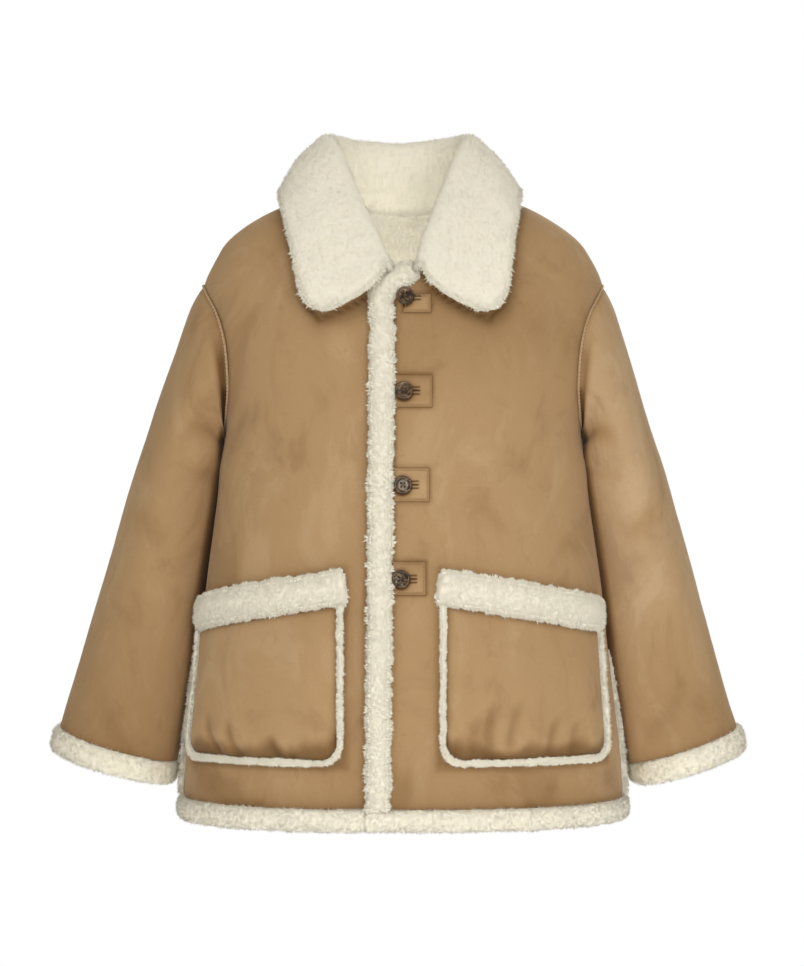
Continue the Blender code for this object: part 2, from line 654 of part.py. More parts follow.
# ---- buttons ----
def add_patch(name, index, collection):
    """The suede patch sewn on round a buttonhole."""
    _, _, left, right, bottom, top = BUTTONS[index]
    places = np.linspace(left, right, 5)
    heights = np.linspace(bottom, top, 4)
    inner = [[body_point(s, z, True, LIFT) for s in places] for z in heights]
    outer = [[body_point(s, z, True, LIFT + PATCH_THICKNESS) for s in places] for z in heights]
    return add_wall(name, outer, inner, "suede", collection)


def add_button(name, index, collection):
    """A horn button: a disc turned about its middle, with a raised rim round a dished face."""
    middle_x, middle_z = BUTTONS[index][:2]
    base = body_point(middle_x, middle_z, True, LIFT * 2 + PATCH_THICKNESS)
    normal = body_normal(0.0, middle_z, True)
    profile = ((0.0, 0.0), (0.70, 0.0), (1.0, 0.45), (0.94, 0.92), (0.80, 1.0), (0.62, 0.70),
               (0.0, 0.66))
    side = np.cross(normal, np.array((0.0, 0.0, 1.0)))
    side /= np.linalg.norm(side)
    upright = np.cross(side, normal)
    vertices, faces = [], []
    turns = 18
    for share, rise in profile[1:-1]:
        for angle in np.arange(turns) * 2 * math.pi / turns:
            spoke = math.cos(angle) * side + math.sin(angle) * upright
            vertices.append(base + spoke * share * BUTTON_RADIUS + normal * rise * BUTTON_THICKNESS)
    rings = len(profile) - 2
    for ring in range(rings - 1):
        for turn in range(turns):
            other = (turn + 1) % turns
            faces.append((ring * turns + turn, ring * turns + other,
                          (ring + 1) * turns + other, (ring + 1) * turns + turn))
    for share, ring in ((profile[0][1], 0), (profile[-1][1], rings - 1)):
        vertices.append(base + normal * share * BUTTON_THICKNESS)
        hub = len(vertices) - 1
        faces += [(ring * turns + turn, ring * turns + (turn + 1) % turns, hub)
                  for turn in range(turns)]
    return add_object(name, vertices, faces, "horn", collection)


# ---- collar ----
def collar_seam(neck_z, front):
    """Where the collar's lower edge stands on the neckline, in the middle of its thickness."""
    s = arc_at_x(neck_z, neck_half_width(neck_z, front), front)
    point = (body_point(s, neck_z, front) + body_point(s, neck_z, front, -WALL)) / 2
    return point + np.array((0.0, 0.0, COLLAR_LIFT))


def collar_section(seam, fold, edge, tangent, size, front_bow):
    """Points across the collar from its seam up the stand, over the fold and down the fall."""
    def square_to_fold(vector):
        flat = vector - np.dot(vector, tangent) * tangent
        return flat / np.linalg.norm(flat)

    stand, fall = square_to_fold(seam - fold), square_to_fold(edge - fold)
    down = (stand + fall) / np.linalg.norm(stand + fall)
    out = (fall - stand) / np.linalg.norm(fall - stand)
    radius = FOLD_RADIUS * size
    half_angle = math.acos(np.dot(stand, fall)) / 2
    arc = [fold - radius * (math.cos(a) * out + math.sin(a) * down)
           for a in np.linspace(half_angle, math.pi - half_angle, FOLD_STEPS)]
    points = [seam + (arc[0] - seam) * t for t in np.linspace(0, 1, STAND_STEPS, endpoint=False)]
    points += arc
    outside = arc[-1]
    swell = np.cross(tangent, edge - outside)
    swell /= np.linalg.norm(swell)
    if np.dot(swell, out) < 0:
        swell = -swell
    for t in np.linspace(0.0, 1.0, FALL_STEPS + 1)[1:]:
        bow = swell * COLLAR_BOW * size * math.sin(math.pi * t)
        bow += tangent * front_bow * math.sin(math.pi * t**0.75)
        points.append(outside + (edge - outside) * t + bow)
    return points


def collar_grid():
    """Points in the middle of the collar's thickness, right front end to left front end."""
    rows = []
    for index, (neck_z, *rest) in enumerate(COLLAR_STATIONS):
        rows.append(np.concatenate((collar_seam(neck_z, index >= COLLAR_BACK_STATIONS), rest)))
    half = np.array(rows)
    flip = np.array((-1, 1, 1, -1, 1, 1, -1, 1, 1, 1.0))
    whole = smooth_points(np.concatenate((half[:0:-1] * flip, half)), 2 * COLLAR_HALF_ROWS - 1)
    seam, fold, edge, size = whole[:, 0:3], whole[:, 3:6], whole[:, 6:9], whole[:, 9]
    shifts = np.array(COLLAR_SHIFTS)
    for points in (fold, edge):
        points[:, 0] += np.interp(points[:, 2], shifts[::-1, 0], shifts[::-1, 1])
    tangents = np.gradient(fold, axis=0)
    tangents /= np.linalg.norm(tangents, axis=1, keepdims=True)
    count = len(whole)
    from_end = np.minimum(np.arange(count), count - 1 - np.arange(count))
    front_bow = COLLAR_FRONT_BOW * np.clip(1.0 - from_end / COLLAR_BOW_ROWS, 0.0, 1.0) ** 1.3
    front_bow *= np.where(np.arange(count) < count / 2, -1.0, 1.0)
    grid = np.array([collar_section(*station)
                     for station in zip(seam, fold, edge, tangents, size, front_bow)])
    return grid, size


def add_collar(collection):
    """The collar: a stand round the neck that folds over into a wide fall with two points."""
    grid, size = collar_grid()
    normals = grid_normals(grid, closed=False)
    half = np.full(grid.shape[1], COLLAR_THICKNESS / 2)
    half[0] = COLLAR_SEAM_THICKNESS / 2
    offset = normals * half[None, :, None] * np.minimum(size, 1.0)[:, None, None]
    return add_wall("collar", grid + offset, grid - offset, "fleece", collection)


def main():
    """Build the coat."""
    for old in list(bpy.data.objects):
        bpy.data.objects.remove(old, do_unlink=True)
    coat = bpy.data.collections.new(COLLECTION)
    bpy.context.scene.collection.children.link(coat)
    add_front("front_left", 1, coat)
    add_front("front_right", -1, coat)
    add_back(coat)
    add_collar(coat)
    add_placket(coat)
    for name, side in (("left", 1), ("right", -1)):
        add_sleeve(f"sleeve_{name}", side, coat)
        add_cuff(f"cuff_{name}", side, coat)
        add_pocket_panel(f"pocket_{name}", side, coat)
        add_pocket_band(f"pocket_band_{name}", side, coat)
        add_pocket_edging(f"pocket_edging_{name}", side, coat)
        add_slit_trim(f"slit_trim_front_{name}", side, True, coat)
        add_slit_trim(f"slit_trim_back_{name}", side, False, coat)
    edge = front_edge(HEM_Z)
    front_side, back_side = side_limit(HEM_Z, True), side_limit(HEM_Z, False)
    add_hem_band("hem_band_front_left", edge - PLACKET_OVERHANG, front_side, True, 22,
                 BAND_SEAM_SIZES, coat)
    add_hem_band("hem_band_front_right", edge - PLACKET_OVERHANG - SEAM_GAP, -front_side, True, 16,
                 BAND_SEAM_SIZES, coat)
    add_hem_band("hem_band_back", -back_side, back_side, False, 30, BAND_END_SIZES, coat)
    for index in range(len(BUTTONS)):
        add_patch(f"button_patch_{index + 1}", index, coat)
        add_button(f"button_{index + 1}", index, coat)


main()
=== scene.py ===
"""Shearling coat: the visible cloth, wool, seams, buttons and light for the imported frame.

Metres, +Z up. X runs to the wearer's left and the front faces -Y. The body is a stack of half
ovals, in front and behind, and every piece is read from that surface or from a sleeve's rings.
"""
import logging
import math
from dataclasses import dataclass
from enum import Enum
from functools import reduce
from itertools import product

import bpy
import numpy as np
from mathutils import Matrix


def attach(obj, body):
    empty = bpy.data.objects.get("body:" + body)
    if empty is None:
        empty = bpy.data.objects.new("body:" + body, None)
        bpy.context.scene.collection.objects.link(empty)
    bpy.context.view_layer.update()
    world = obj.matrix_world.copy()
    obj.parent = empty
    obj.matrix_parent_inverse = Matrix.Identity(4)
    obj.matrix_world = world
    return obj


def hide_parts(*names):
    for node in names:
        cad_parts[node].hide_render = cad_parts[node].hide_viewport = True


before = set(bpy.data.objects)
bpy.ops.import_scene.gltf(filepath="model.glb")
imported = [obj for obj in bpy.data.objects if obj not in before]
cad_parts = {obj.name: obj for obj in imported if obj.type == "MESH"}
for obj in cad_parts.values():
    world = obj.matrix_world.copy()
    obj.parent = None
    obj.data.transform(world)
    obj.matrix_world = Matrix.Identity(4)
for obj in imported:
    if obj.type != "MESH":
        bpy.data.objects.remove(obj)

LOG = logging.getLogger("coat")
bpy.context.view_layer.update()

# ---- sizes shared by the pieces (metres) ----
WALL = 0.005
SEAM_GAP = 0.0003
LIFT = 0.0005
SECTION_POWER = 2.3
HEM_Z = -0.6955
NECK_HALF_WIDTH = 0.078
FRONT_NECK_DROP = 0.106
BACK_NECK_DROP = 0.022
TOP_Z = -0.004
SHOULDER_TIP_Z = -0.111
UNDERARM_Z = -0.283
ARMHOLE_HALF_DEPTH = 0.075
SLIT_TOP_Z = -0.530
SLIT_HALF_GAP = 0.0016
LEFT_EDGE_TOP = -0.0345
LEFT_EDGE_HEM = -0.0400
RIGHT_EDGE = 0.032
OVERLAP_SINK = WALL + 0.0012
OVERLAP_RAMP = 0.055
THROAT_ROUND = 0.026
UNDERARM_SWELL = 0.0035      # how far the body stands out under each arm
FLEECE_LUMPS = 0.0012        # height of the lumps in the inside's wool
LOCK_SPACING = 0.0052        # from one lock's rounded lump to the next
LOCK_SINK = 0.0006           # how deep a lock's foot is set
LOCK_CORNERS = (0.0, 2.0944, 4.1888)     # where the foot's three corners lie round it
# A lock's foot carries less than its tip, which paints shade at the roots.
LOCK_VALUES = (0.80, 0.80, 0.80, 1.0)    # what those corners and the tip carry for the finish
CLOTH_STEP = 0.0050          # how finely the suede is divided
PILE_STEP = 0.0018           # how finely the wool is divided

BODY_SECTIONS = np.array((
    # z,     width, front, back
    (0.000, 0.0780, 0.046, 0.046),
    (-0.022, 0.1390, 0.064, 0.065),
    (-0.041, 0.1750, 0.079, 0.081),
    (-0.064, 0.2040, 0.094, 0.096),
    (-0.081, 0.2150, 0.104, 0.106),
    (-0.111, 0.2285, 0.118, 0.120),
    (-0.150, 0.2285, 0.130, 0.132),
    (-0.200, 0.2230, 0.139, 0.139),
    (-0.245, 0.2120, 0.143, 0.141),
    (-0.283, 0.2040, 0.145, 0.140),
    (-0.338, 0.2100, 0.146, 0.139),
    (-0.391, 0.2175, 0.147, 0.139),
    (-0.460, 0.2270, 0.148, 0.141),
    (-0.541, 0.2360, 0.150, 0.144),
    (-0.644, 0.2490, 0.152, 0.148),
    (-0.735, 0.2530, 0.153, 0.150),
))
SLEEVE_RINGS = (
    # out_x, out_z,   in_x,   in_z,  depth,  bend, shift,  drop
    (0.2415, -0.1350, 0.2080, -0.2870, 0.0775, 0.012, 0.003, 0.000),
    (0.2545, -0.1730, 0.2095, -0.2910, 0.0800, 0.006, 0.008, 0.000),
    (0.2680, -0.2150, 0.2105, -0.2970, 0.0815, 0.002, 0.014, 0.000),
    (0.2840, -0.2680, 0.2115, -0.3080, 0.0815, 0.000, 0.020, 0.000),
    (0.3030, -0.3250, 0.2145, -0.3500, 0.0790, 0.000, 0.027, 0.000),
    (0.3200, -0.3800, 0.2210, -0.4080, 0.0755, 0.000, 0.031, 0.001),
    (0.3355, -0.4350, 0.2290, -0.4660, 0.0720, 0.000, 0.033, 0.001),
    (0.3510, -0.4900, 0.2360, -0.5240, 0.0680, 0.000, 0.033, 0.002),
    (0.3660, -0.5450, 0.2450, -0.5810, 0.0630, 0.000, 0.031, 0.003),
    (0.3870, -0.6190, 0.2620, -0.6570, 0.0570, 0.000, 0.028, 0.005),
)
SLEEVE_REACH = 0.5
BAND_STEP = 0.0020           # how finely the hem's and the cuffs' rolls are divided
BAND_POWER = 2.6             # how square those rolls are
RIGHT_SLEEVE_SPREAD = 0.0105
SLEEVE_ROWS = 12
COLLAR_STATIONS = (
    # neck_z,  fold x, y, z,            edge x, y, z,             size
    (-0.0220, 0.0000, 0.0770, 0.0515, 0.0000, 0.0965, -0.0400, 1.00),
    (-0.0189, 0.0430, 0.0690, 0.0525, 0.0620, 0.0900, -0.0360, 1.00),
    (-0.0097, 0.0720, 0.0380, 0.0530, 0.1080, 0.0600, -0.0200, 1.00),
    (-0.0040, 0.0830, 0.0040, 0.0490, 0.1335, 0.0080, -0.0055, 1.00),
    (-0.0200, 0.0745, -0.0240, 0.0330, 0.1340, -0.0440, -0.0190, 1.00),
    (-0.0500, 0.0580, -0.0560, -0.0100, 0.1240, -0.0960, -0.0700, 1.00),
    (-0.0810, 0.0385, -0.0890, -0.0560, 0.1160, -0.1235, -0.1190, 0.90),
    (-0.1000, 0.0185, -0.1245, -0.1010, 0.0940, -0.1390, -0.1540, 0.64),
)
COLLAR_SHIFTS = ((0.060, -0.0055), (-0.060, -0.0025), (-0.095, 0.0), (-0.150, 0.0010))

Array = np.ndarray
Material = bpy.types.Material
Node = bpy.types.Node
NodeTree = bpy.types.NodeTree
Socket = bpy.types.NodeSocket


class Side(Enum):
    """The wearer's left, towards +X, or right."""

    LEFT = 1
    RIGHT = -1

    @property
    def word(self) -> str:
        """The side's name as the pieces' names have it."""
        return self.name.lower()


# ---- numbers ----
def smooth(table_x: Array, table_y: Array, x: Array) -> Array:
    """Cubic curve through the rows of a table, its slope at a row taken from the rows beside it.

    Args:
        table_x: places of the rows, rising or falling.
        table_y: values at the rows.
        x: places to read.

    Returns:
        The curve's values.
    """
    table_x, table_y = np.asarray(table_x, float), np.asarray(table_y, float)
    if table_x[0] > table_x[-1]:
        table_x, table_y = table_x[::-1], table_y[::-1]
    steps = np.diff(table_y) / np.diff(table_x)
    slopes = np.zeros(len(table_x))
    slopes[0], slopes[-1] = steps[0], steps[-1]
    before, after = np.diff(table_x)[:-1], np.diff(table_x)[1:]
    slopes[1:-1] = (steps[:-1] * after + steps[1:] * before) / (before + after)
    x = np.clip(np.asarray(x, float), table_x[0], table_x[-1])
    row = np.clip(np.searchsorted(table_x, x) - 1, 0, len(table_x) - 2)
    span = table_x[row + 1] - table_x[row]
    t = (x - table_x[row]) / span
    return ((2 * t**3 - 3 * t**2 + 1) * table_y[row] + (t**3 - 2 * t**2 + t) * span * slopes[row]
            + (3 * t**2 - 2 * t**3) * table_y[row + 1] + (t**3 - t**2) * span * slopes[row + 1])


def smooth_path(points: Array, step: float, count: int | None = None) -> Array:
    """The same curve through points, read at evenly spaced places.

    Args:
        points: rows of any width, whose first three or two columns are the place.
        step: distance between the places that are read.
        count: how many places, in place of the step.

    Returns:
        The new rows.
    """
    points = np.asarray(points, float)
    at = travelled(points)
    count = count or max(int(round(at[-1] / step)) + 1, 3)
    read = np.linspace(0.0, at[-1], count)
    return np.stack([smooth(at, points[:, axis], read) for axis in range(points.shape[1])], axis=1)


def ease(t: Array) -> Array:
    """0 below 0, 1 above 1 and 3t2 - 2t3 between."""
    t = np.clip(t, 0.0, 1.0)
    return t * t * (3 - 2 * t)


def quarter(t: Array, least: float = 0.0) -> Array:
    """A quarter circle's height: 1 where t is 0, and 0 or the square root of least at 1."""
    t = np.clip(t, 0.0, 1.0)
    return np.sqrt(np.maximum(1 - t * t, least))


def alike(*values: Array | float) -> list[Array]:
    """The values as arrays of one shape."""
    return np.broadcast_arrays(*(np.asarray(value, float) for value in values))


def unit(vectors: Array) -> Array:
    """The vectors divided by their lengths."""
    return vectors / np.maximum(np.linalg.norm(vectors, axis=-1, keepdims=True), 1e-12)


def bell(x: Array, centre: Array | float, width: float) -> Array:
    """A bell of that width: 1 at the centre and falling away on both sides."""
    return np.exp(-((x - centre) / width) ** 2)


def outside(x: Array, low: Array | float, high: Array | float) -> Array:
    """How far x lies outside a range, and 0 inside it."""
    return np.maximum(np.maximum(low - x, x - high), 0.0)


def turns(count: int) -> Array:
    """The angles of evenly spaced points round a circle."""
    return np.arange(count) * 2 * math.pi / count


def travelled(points: Array, axis: int = 0) -> Array:
    """The distance travelled along a row of points, or along one axis of a grid of them."""
    steps = np.linalg.norm(np.diff(points, axis=axis), axis=-1)
    start = np.zeros_like(np.take(steps, (0,), axis=axis))
    return np.concatenate((start, np.cumsum(steps, axis=axis)), axis=axis)


def spaced(length: float, step: float, edges: tuple[float, ...] = (0.0, 0.0015, 0.004)) -> Array:
    """Shares from 0 to 1 that are close together at both ends.

    Args:
        length: the length that the shares divide.
        step: distance between the places in the middle.
        edges: distances from each end that are kept.

    Returns:
        The shares.
    """
    low = np.array(edges)
    inside = length - 2 * low[-1]
    count = max(int(round(inside / step)), 2)
    middle = np.linspace(low[-1], length - low[-1], count + 1)[1:-1]
    return np.concatenate((low, middle, length - low[::-1])) / length


def lattice(cells: Array, seed: int) -> Array:
    """A fixed number from 0 to 1 for every whole-numbered cell, the same in each run."""
    mixed = (cells[..., 0].astype(np.int64) * 73856093 ^ cells[..., 1].astype(np.int64) * 19349663
             ^ cells[..., 2].astype(np.int64) * 83492791 ^ (seed * 2654435761))
    mixed = (mixed ^ (mixed >> 13)) * 1274126177
    mixed = (mixed ^ (mixed >> 16)) & 0x7FFFFFFF
    mixed = (mixed * 48271) % 2147483647
    return mixed / 2147483647.0


def noise(points: Array, size: float, seed: int) -> Array:
    """Smooth noise from -1 to 1: cell values blended with the ease curve on each axis.

    Args:
        points: places, as rows of three.
        size: width of one cell.
        seed: picks one of many patterns.

    Returns:
        One value for each place.
    """
    scaled = points / size
    base = np.floor(scaled).astype(np.int64)
    part = ease(scaled - base)
    total = np.zeros(points.shape[:-1])
    for corner in range(8):
        step = np.array((corner & 1, corner >> 1 & 1, corner >> 2 & 1))
        weight = np.prod(np.where(step == 1, part, 1 - part), axis=-1)
        total += weight * lattice(base + step, seed)
    return total * 2 - 1


def curls(points: Array, size: float, seed: int) -> Array:
    """Rounded lumps like locks of wool: 1 at each cell's own centre and 0 halfway to the next.

    Args:
        points: places, as rows of three.
        size: distance between the locks.
        seed: picks one of many patterns.

    Returns:
        Values from 0 to 1, from the distance to the nearest centre.
    """
    scaled = points / size
    base = np.floor(scaled).astype(np.int64)
    nearest = np.full(points.shape[:-1], 9.0)
    for step in product((-1, 0, 1), repeat=3):
        cell = base + step
        centre = np.stack([lattice(cell, seed + axis) for axis in range(3)], axis=-1)
        gap = scaled - (cell + 0.15 + 0.7 * centre)
        nearest = np.minimum(nearest, np.sum(gap * gap, axis=-1))
    return np.clip(1.0 - nearest / 0.75, 0.0, 1.0)


# ---- the body's surface ----
class BodySurface:
    """The body as a function of the distance round a section and the height.

    A section at height z is x = width sin(q)^(2/p), y = depth cos(q)^(2/p), for q from 0 at the
    centre line to a quarter turn at the side. Its lengths are kept in a table over z and q.
    """

    def __init__(self) -> None:
        """Tabulate the sections' lengths."""
        self.heights = np.linspace(-0.76, -0.0002, 381)
        self.turn = np.linspace(0.0, math.pi / 2, 181)
        self.shares = np.linspace(0.0, 1.0, 241)
        self.arc: dict[bool, Array] = {}
        self.turn_at: dict[bool, Array] = {}
        self.total: dict[bool, Array] = {}
        for front in (True, False):
            width, depth = self.half_sizes(self.heights, front)
            x = width[:, None] * np.sin(self.turn)[None] ** (2 / SECTION_POWER)
            y = depth[:, None] * np.cos(self.turn)[None] ** (2 / SECTION_POWER)
            steps = np.hypot(np.diff(x, axis=1), np.diff(y, axis=1))
            arc = np.concatenate((np.zeros((len(x), 1)), np.cumsum(steps, axis=1)), axis=1)
            self.arc[front] = arc
            self.total[front] = arc[:, -1]
            self.turn_at[front] = np.array([np.interp(self.shares * row[-1], row, self.turn)
                                            for row in arc])

    def half_sizes(self, z: Array, front: bool) -> tuple[Array, Array]:
        """Half width and depth of the sections at heights z."""
        return (smooth(BODY_SECTIONS[:, 0], BODY_SECTIONS[:, 1], z),
                smooth(BODY_SECTIONS[:, 0], BODY_SECTIONS[:, 2 if front else 3], z))

    def _table(self, table: Array, z: Array, column: Array) -> Array:
        """Read a table between its rows (heights) and columns (given as fractional indices)."""
        row = np.clip((z - self.heights[0]) / (self.heights[1] - self.heights[0]), 0,
                      len(self.heights) - 1.001)
        column = np.clip(column, 0, table.shape[1] - 1.001)
        r, c = row.astype(int), column.astype(int)
        u, v = row - r, column - c
        return ((table[r, c] * (1 - u) + table[r + 1, c] * u) * (1 - v)
                + (table[r, c + 1] * (1 - u) + table[r + 1, c + 1] * u) * v)

    def length(self, z: Array, front: bool) -> Array:
        """Distance round the section from the centre line to the side."""
        return np.interp(z, self.heights, self.total[front])

    def at_share(self, share: Array, z: Array, front: bool) -> Array:
        """Points at signed shares of the way from the centre line to the side."""
        share, z = alike(share, z)
        width, depth = self.half_sizes(z, front)
        q = self._table(self.turn_at[front], z, np.abs(share) * (len(self.shares) - 1))
        x = np.sign(share) * width * np.sin(q) ** (2 / SECTION_POWER)
        y = depth * np.maximum(np.cos(q), 0.0) ** (2 / SECTION_POWER)
        return np.stack((x, -y if front else y, z), axis=-1)

    def normal(self, share: Array, z: Array, front: bool) -> Array:
        """Outward unit normals, from small steps along the surface and up it."""
        share, z = alike(share, z)
        low, high = np.maximum(share - 0.012, -1.0), np.minimum(share + 0.012, 1.0)
        along = self.at_share(high, z, front) - self.at_share(low, z, front)
        side = np.abs(share) > 0.996
        along[side] = (0.0, 1.0, 0.0)
        up = (self.at_share(share, z + 0.003, front) - self.at_share(share, z - 0.003, front))
        normal = unit(np.cross(along, up))
        here = self.at_share(share, z, front)
        inwards = normal[..., 0] * here[..., 0] + normal[..., 1] * here[..., 1] < 0
        normal[inwards] *= -1
        return normal

    def point(self, s: Array, z: Array, front: bool = True, out: Array | float = 0.0) -> Array:
        """Points at distance s round the section at height z, moved out along the normal."""
        s, z, out = alike(s, z, out)
        share = np.clip(s / self.length(z, front), -1.0, 1.0)
        return self.at_share(share, z, front) + out[..., None] * self.normal(share, z, front)

    def normal_at(self, s: Array, z: Array, front: bool) -> Array:
        """Outward unit normals at distance s round the section at height z."""
        return self.normal(np.clip(s / self.length(z, front), -1, 1), z, front)

    def arc_at_x(self, z: Array, x: Array, front: bool) -> Array:
        """Distance round the section at which it is x from the centre line."""
        width, _ = self.half_sizes(z, front)
        q = np.arcsin(np.clip(x / width, 0, 1) ** (SECTION_POWER / 2))
        return self._table(self.arc[front], z, q / self.turn[1])

    def arc_at_depth(self, z: Array, depth: Array, front: bool) -> Array:
        """Distance round the section at which it is only that deep."""
        _, whole = self.half_sizes(z, front)
        q = np.arccos(np.clip(depth / whole, 0, 1) ** (SECTION_POWER / 2))
        return self._table(self.arc[front], z, q / self.turn[1])


BODY = BodySurface()


def front_edge(z: Array) -> Array:
    """Where the overlapping front ends at height z, from the centre line."""
    t = np.clip((z - SHOULDER_TIP_Z) / (HEM_Z - SHOULDER_TIP_Z), 0, 1)
    return LEFT_EDGE_TOP + (LEFT_EDGE_HEM - LEFT_EDGE_TOP) * t


def turned_in(straight: Array, z: Array) -> Array:
    """The front edge rounded in to the throat as a quarter circle below the neckline."""
    return straight * quarter((z + FRONT_NECK_DROP + THROAT_ROUND) / THROAT_ROUND)


def armhole_depth(z: Array, spare: float = 0.0) -> Array:
    """Half the armhole's width at height z, as half of an oval standing on end."""
    middle = (SHOULDER_TIP_Z + UNDERARM_Z) / 2
    half_height = (SHOULDER_TIP_Z - UNDERARM_Z) / 2 + spare
    t = (z - middle) / half_height
    return (ARMHOLE_HALF_DEPTH + spare) * np.sqrt(np.maximum(1.0 - t * t, 0.0))


def neck_half_width(z: Array, front: bool) -> Array:
    """Half the width of the neck opening at height z, as a quarter oval."""
    return NECK_HALF_WIDTH * quarter(-z / (FRONT_NECK_DROP if front else BACK_NECK_DROP))


def side_limit(z: Array, front: bool) -> Array:
    """Distance round the section to the side seam, the armhole or the shoulder seam."""
    z = np.asarray(z, float)
    end = BODY.length(z, front)
    limit = end - SEAM_GAP / 2
    armhole = (z > UNDERARM_Z) & (z < SHOULDER_TIP_Z)
    cut = BODY.arc_at_depth(z, armhole_depth(z), front)
    limit = np.where(armhole, np.minimum(cut, limit), limit)
    return np.where(z < SLIT_TOP_Z, end - SLIT_HALF_GAP, limit)


# ---- sleeves ----
def armhole_ring(columns: int, inset: float = SEAM_GAP) -> tuple[Array, Array]:
    """The armhole's oval laid on the body: z = middle + half cos(a), depth from the oval.

    Args:
        columns: how many points go round.
        inset: how far inside the panels' edge the ring lies.

    Returns:
        The points and the body's normals at them, from the top round by the front.
    """
    middle = (SHOULDER_TIP_Z + UNDERARM_Z) / 2
    half = (SHOULDER_TIP_Z - UNDERARM_Z) / 2 - inset
    angle = turns(columns)
    z = middle + half * np.cos(angle)
    points, normals = np.zeros((columns, 3)), np.zeros((columns, 3))
    for front, chosen in ((True, np.sin(angle) >= 0), (False, np.sin(angle) < 0)):
        s = BODY.arc_at_depth(z[chosen], armhole_depth(z[chosen], -inset), front)
        points[chosen] = BODY.point(s, z[chosen], front)
        normals[chosen] = BODY.normal(s / BODY.length(z[chosen], front), z[chosen], front)
    return points, normals


def sleeve_ring(row: Array, spread: float, columns: int) -> Array:
    """One ring of a sleeve: an oval between its outermost and innermost point, bent and shifted."""
    out_x, out_z, in_x, in_z, depth, bend, shift, drop = row
    out_x = out_x + spread * math.sqrt((SHOULDER_TIP_Z - out_z) / SLEEVE_REACH)
    angle = turns(columns)
    half = np.array(((out_x - in_x) / 2, (out_z - in_z) / 2))
    across = np.array((-half[1], half[0])) / np.linalg.norm(half)
    sine, cosine = np.sin(angle), np.cos(angle)
    x = (out_x + in_x) / 2 + half[0] * cosine + across[0] * bend * sine**2
    z = (out_z + in_z) / 2 + half[1] * cosine + across[1] * bend * sine**2 - drop * sine
    return np.stack((x, shift - depth * sine, z), axis=1)


def step_round(points: Array, axis: int) -> Array:
    """For each point of a closed ring, the step from the point before it to the one after."""
    return np.roll(points, -1, axis=axis) - np.roll(points, 1, axis=axis)


def grid_normals(grid: Array, closed: bool) -> Array:
    """Unit normals of a grid, from the differences along its rows and columns."""
    across = step_round(grid, 1) if closed else np.gradient(grid, axis=1)
    return unit(np.cross(np.gradient(grid, axis=0), across))


def sleeve_surface(side: Side, columns: int, step: float) -> tuple[Array, Array]:
    """A sleeve's outer surface, as if on the wearer's left, before it is creased.

    Args:
        side: whose sleeve; the right one hangs further out.
        columns: points round each ring.
        step: distance between rings.

    Returns:
        The grid of points, armhole to cuff, and its outward normals.
    """
    spread = 0.0 if side is Side.LEFT else RIGHT_SLEEVE_SPREAD
    first, body_normals = armhole_ring(columns)
    table = smooth_path(np.array(SLEEVE_RINGS), 0.0, SLEEVE_ROWS)
    rings = [first] + [sleeve_ring(row, spread, columns) for row in table]
    rings = np.array(rings)
    centres = rings.mean(axis=1)
    at = travelled(centres)
    at[1] = max(at[1], 0.02)
    shares = spaced(at[-1], step, (0.0, 0.002, 0.006))
    grid = np.stack([smooth(at, rings[:, c, a], shares * at[-1])
                     for c in range(columns) for a in range(3)], axis=1)
    grid = grid.reshape(len(shares), columns, 3)
    normals = grid_normals(grid, True)
    if np.sum(normals * (grid - grid.mean(axis=1, keepdims=True))) < 0:
        normals = -normals
    share = flat_share(columns)
    normals[0] = unit(share * body_normals + (1 - share) * normals[0])
    return grid, normals


def flat_share(count: int) -> Array:
    """How far each point round an armhole lies flat on the body: 1 at the top, 0 under the arm."""
    return np.clip(0.5 + 1.5 * (np.cos(turns(count)) + 0.35), 0.0, 1.0)[:, None]


def on_side(points: Array, side: Side) -> Array:
    """The points themselves on the wearer's left, or their mirror image on the right."""
    return points * (side.value, 1.0, 1.0)


# ---- cloth relief ----
@dataclass(frozen=True)
class Crease:
    """A soft fold: a trough or ridge along a short line in a panel's own two measures."""

    start: tuple[float, float]
    end: tuple[float, float]
    width: float
    height: float

    def lift(self, u: Array, v: Array) -> Array:
        """Height of the fold: a bell across the line, fading towards the line's two ends."""
        start, end = np.array(self.start), np.array(self.end)
        line = end - start
        length = np.linalg.norm(line)
        line = line / length
        along = (u - start[0]) * line[0] + (v - start[1]) * line[1]
        across = -(u - start[0]) * line[1] + (v - start[1]) * line[0]
        bow = 0.12 * length * np.sin(np.clip(along / length, 0, 1) * math.pi)
        fade = ease(along / (0.35 * length)) * ease((length - along) / (0.35 * length))
        return self.height * bell(across, bow, self.width) * fade


def creases(*rows: tuple[float, ...]) -> tuple[Crease, ...]:
    """Creases from rows of two places, a width and a height."""
    return tuple(Crease(row[:2], row[2:4], *row[4:]) for row in rows)


def creased(u: Array, v: Array, folds: tuple[Crease, ...]) -> Array:
    """The sum of the creases' lifts."""
    return sum(crease.lift(u, v) for crease in folds)


def slack(points: Array, seed: int) -> Array:
    """The cloth's own unevenness: wide soft waves and a smaller crumple, in metres."""
    stretched = points * (1.0, 1.0, 0.55)
    return (0.0016 * noise(stretched, 0.085, seed) + 0.0007 * noise(stretched, 0.034, seed + 7)
            + 0.00018 * noise(points, 0.011, seed + 13))


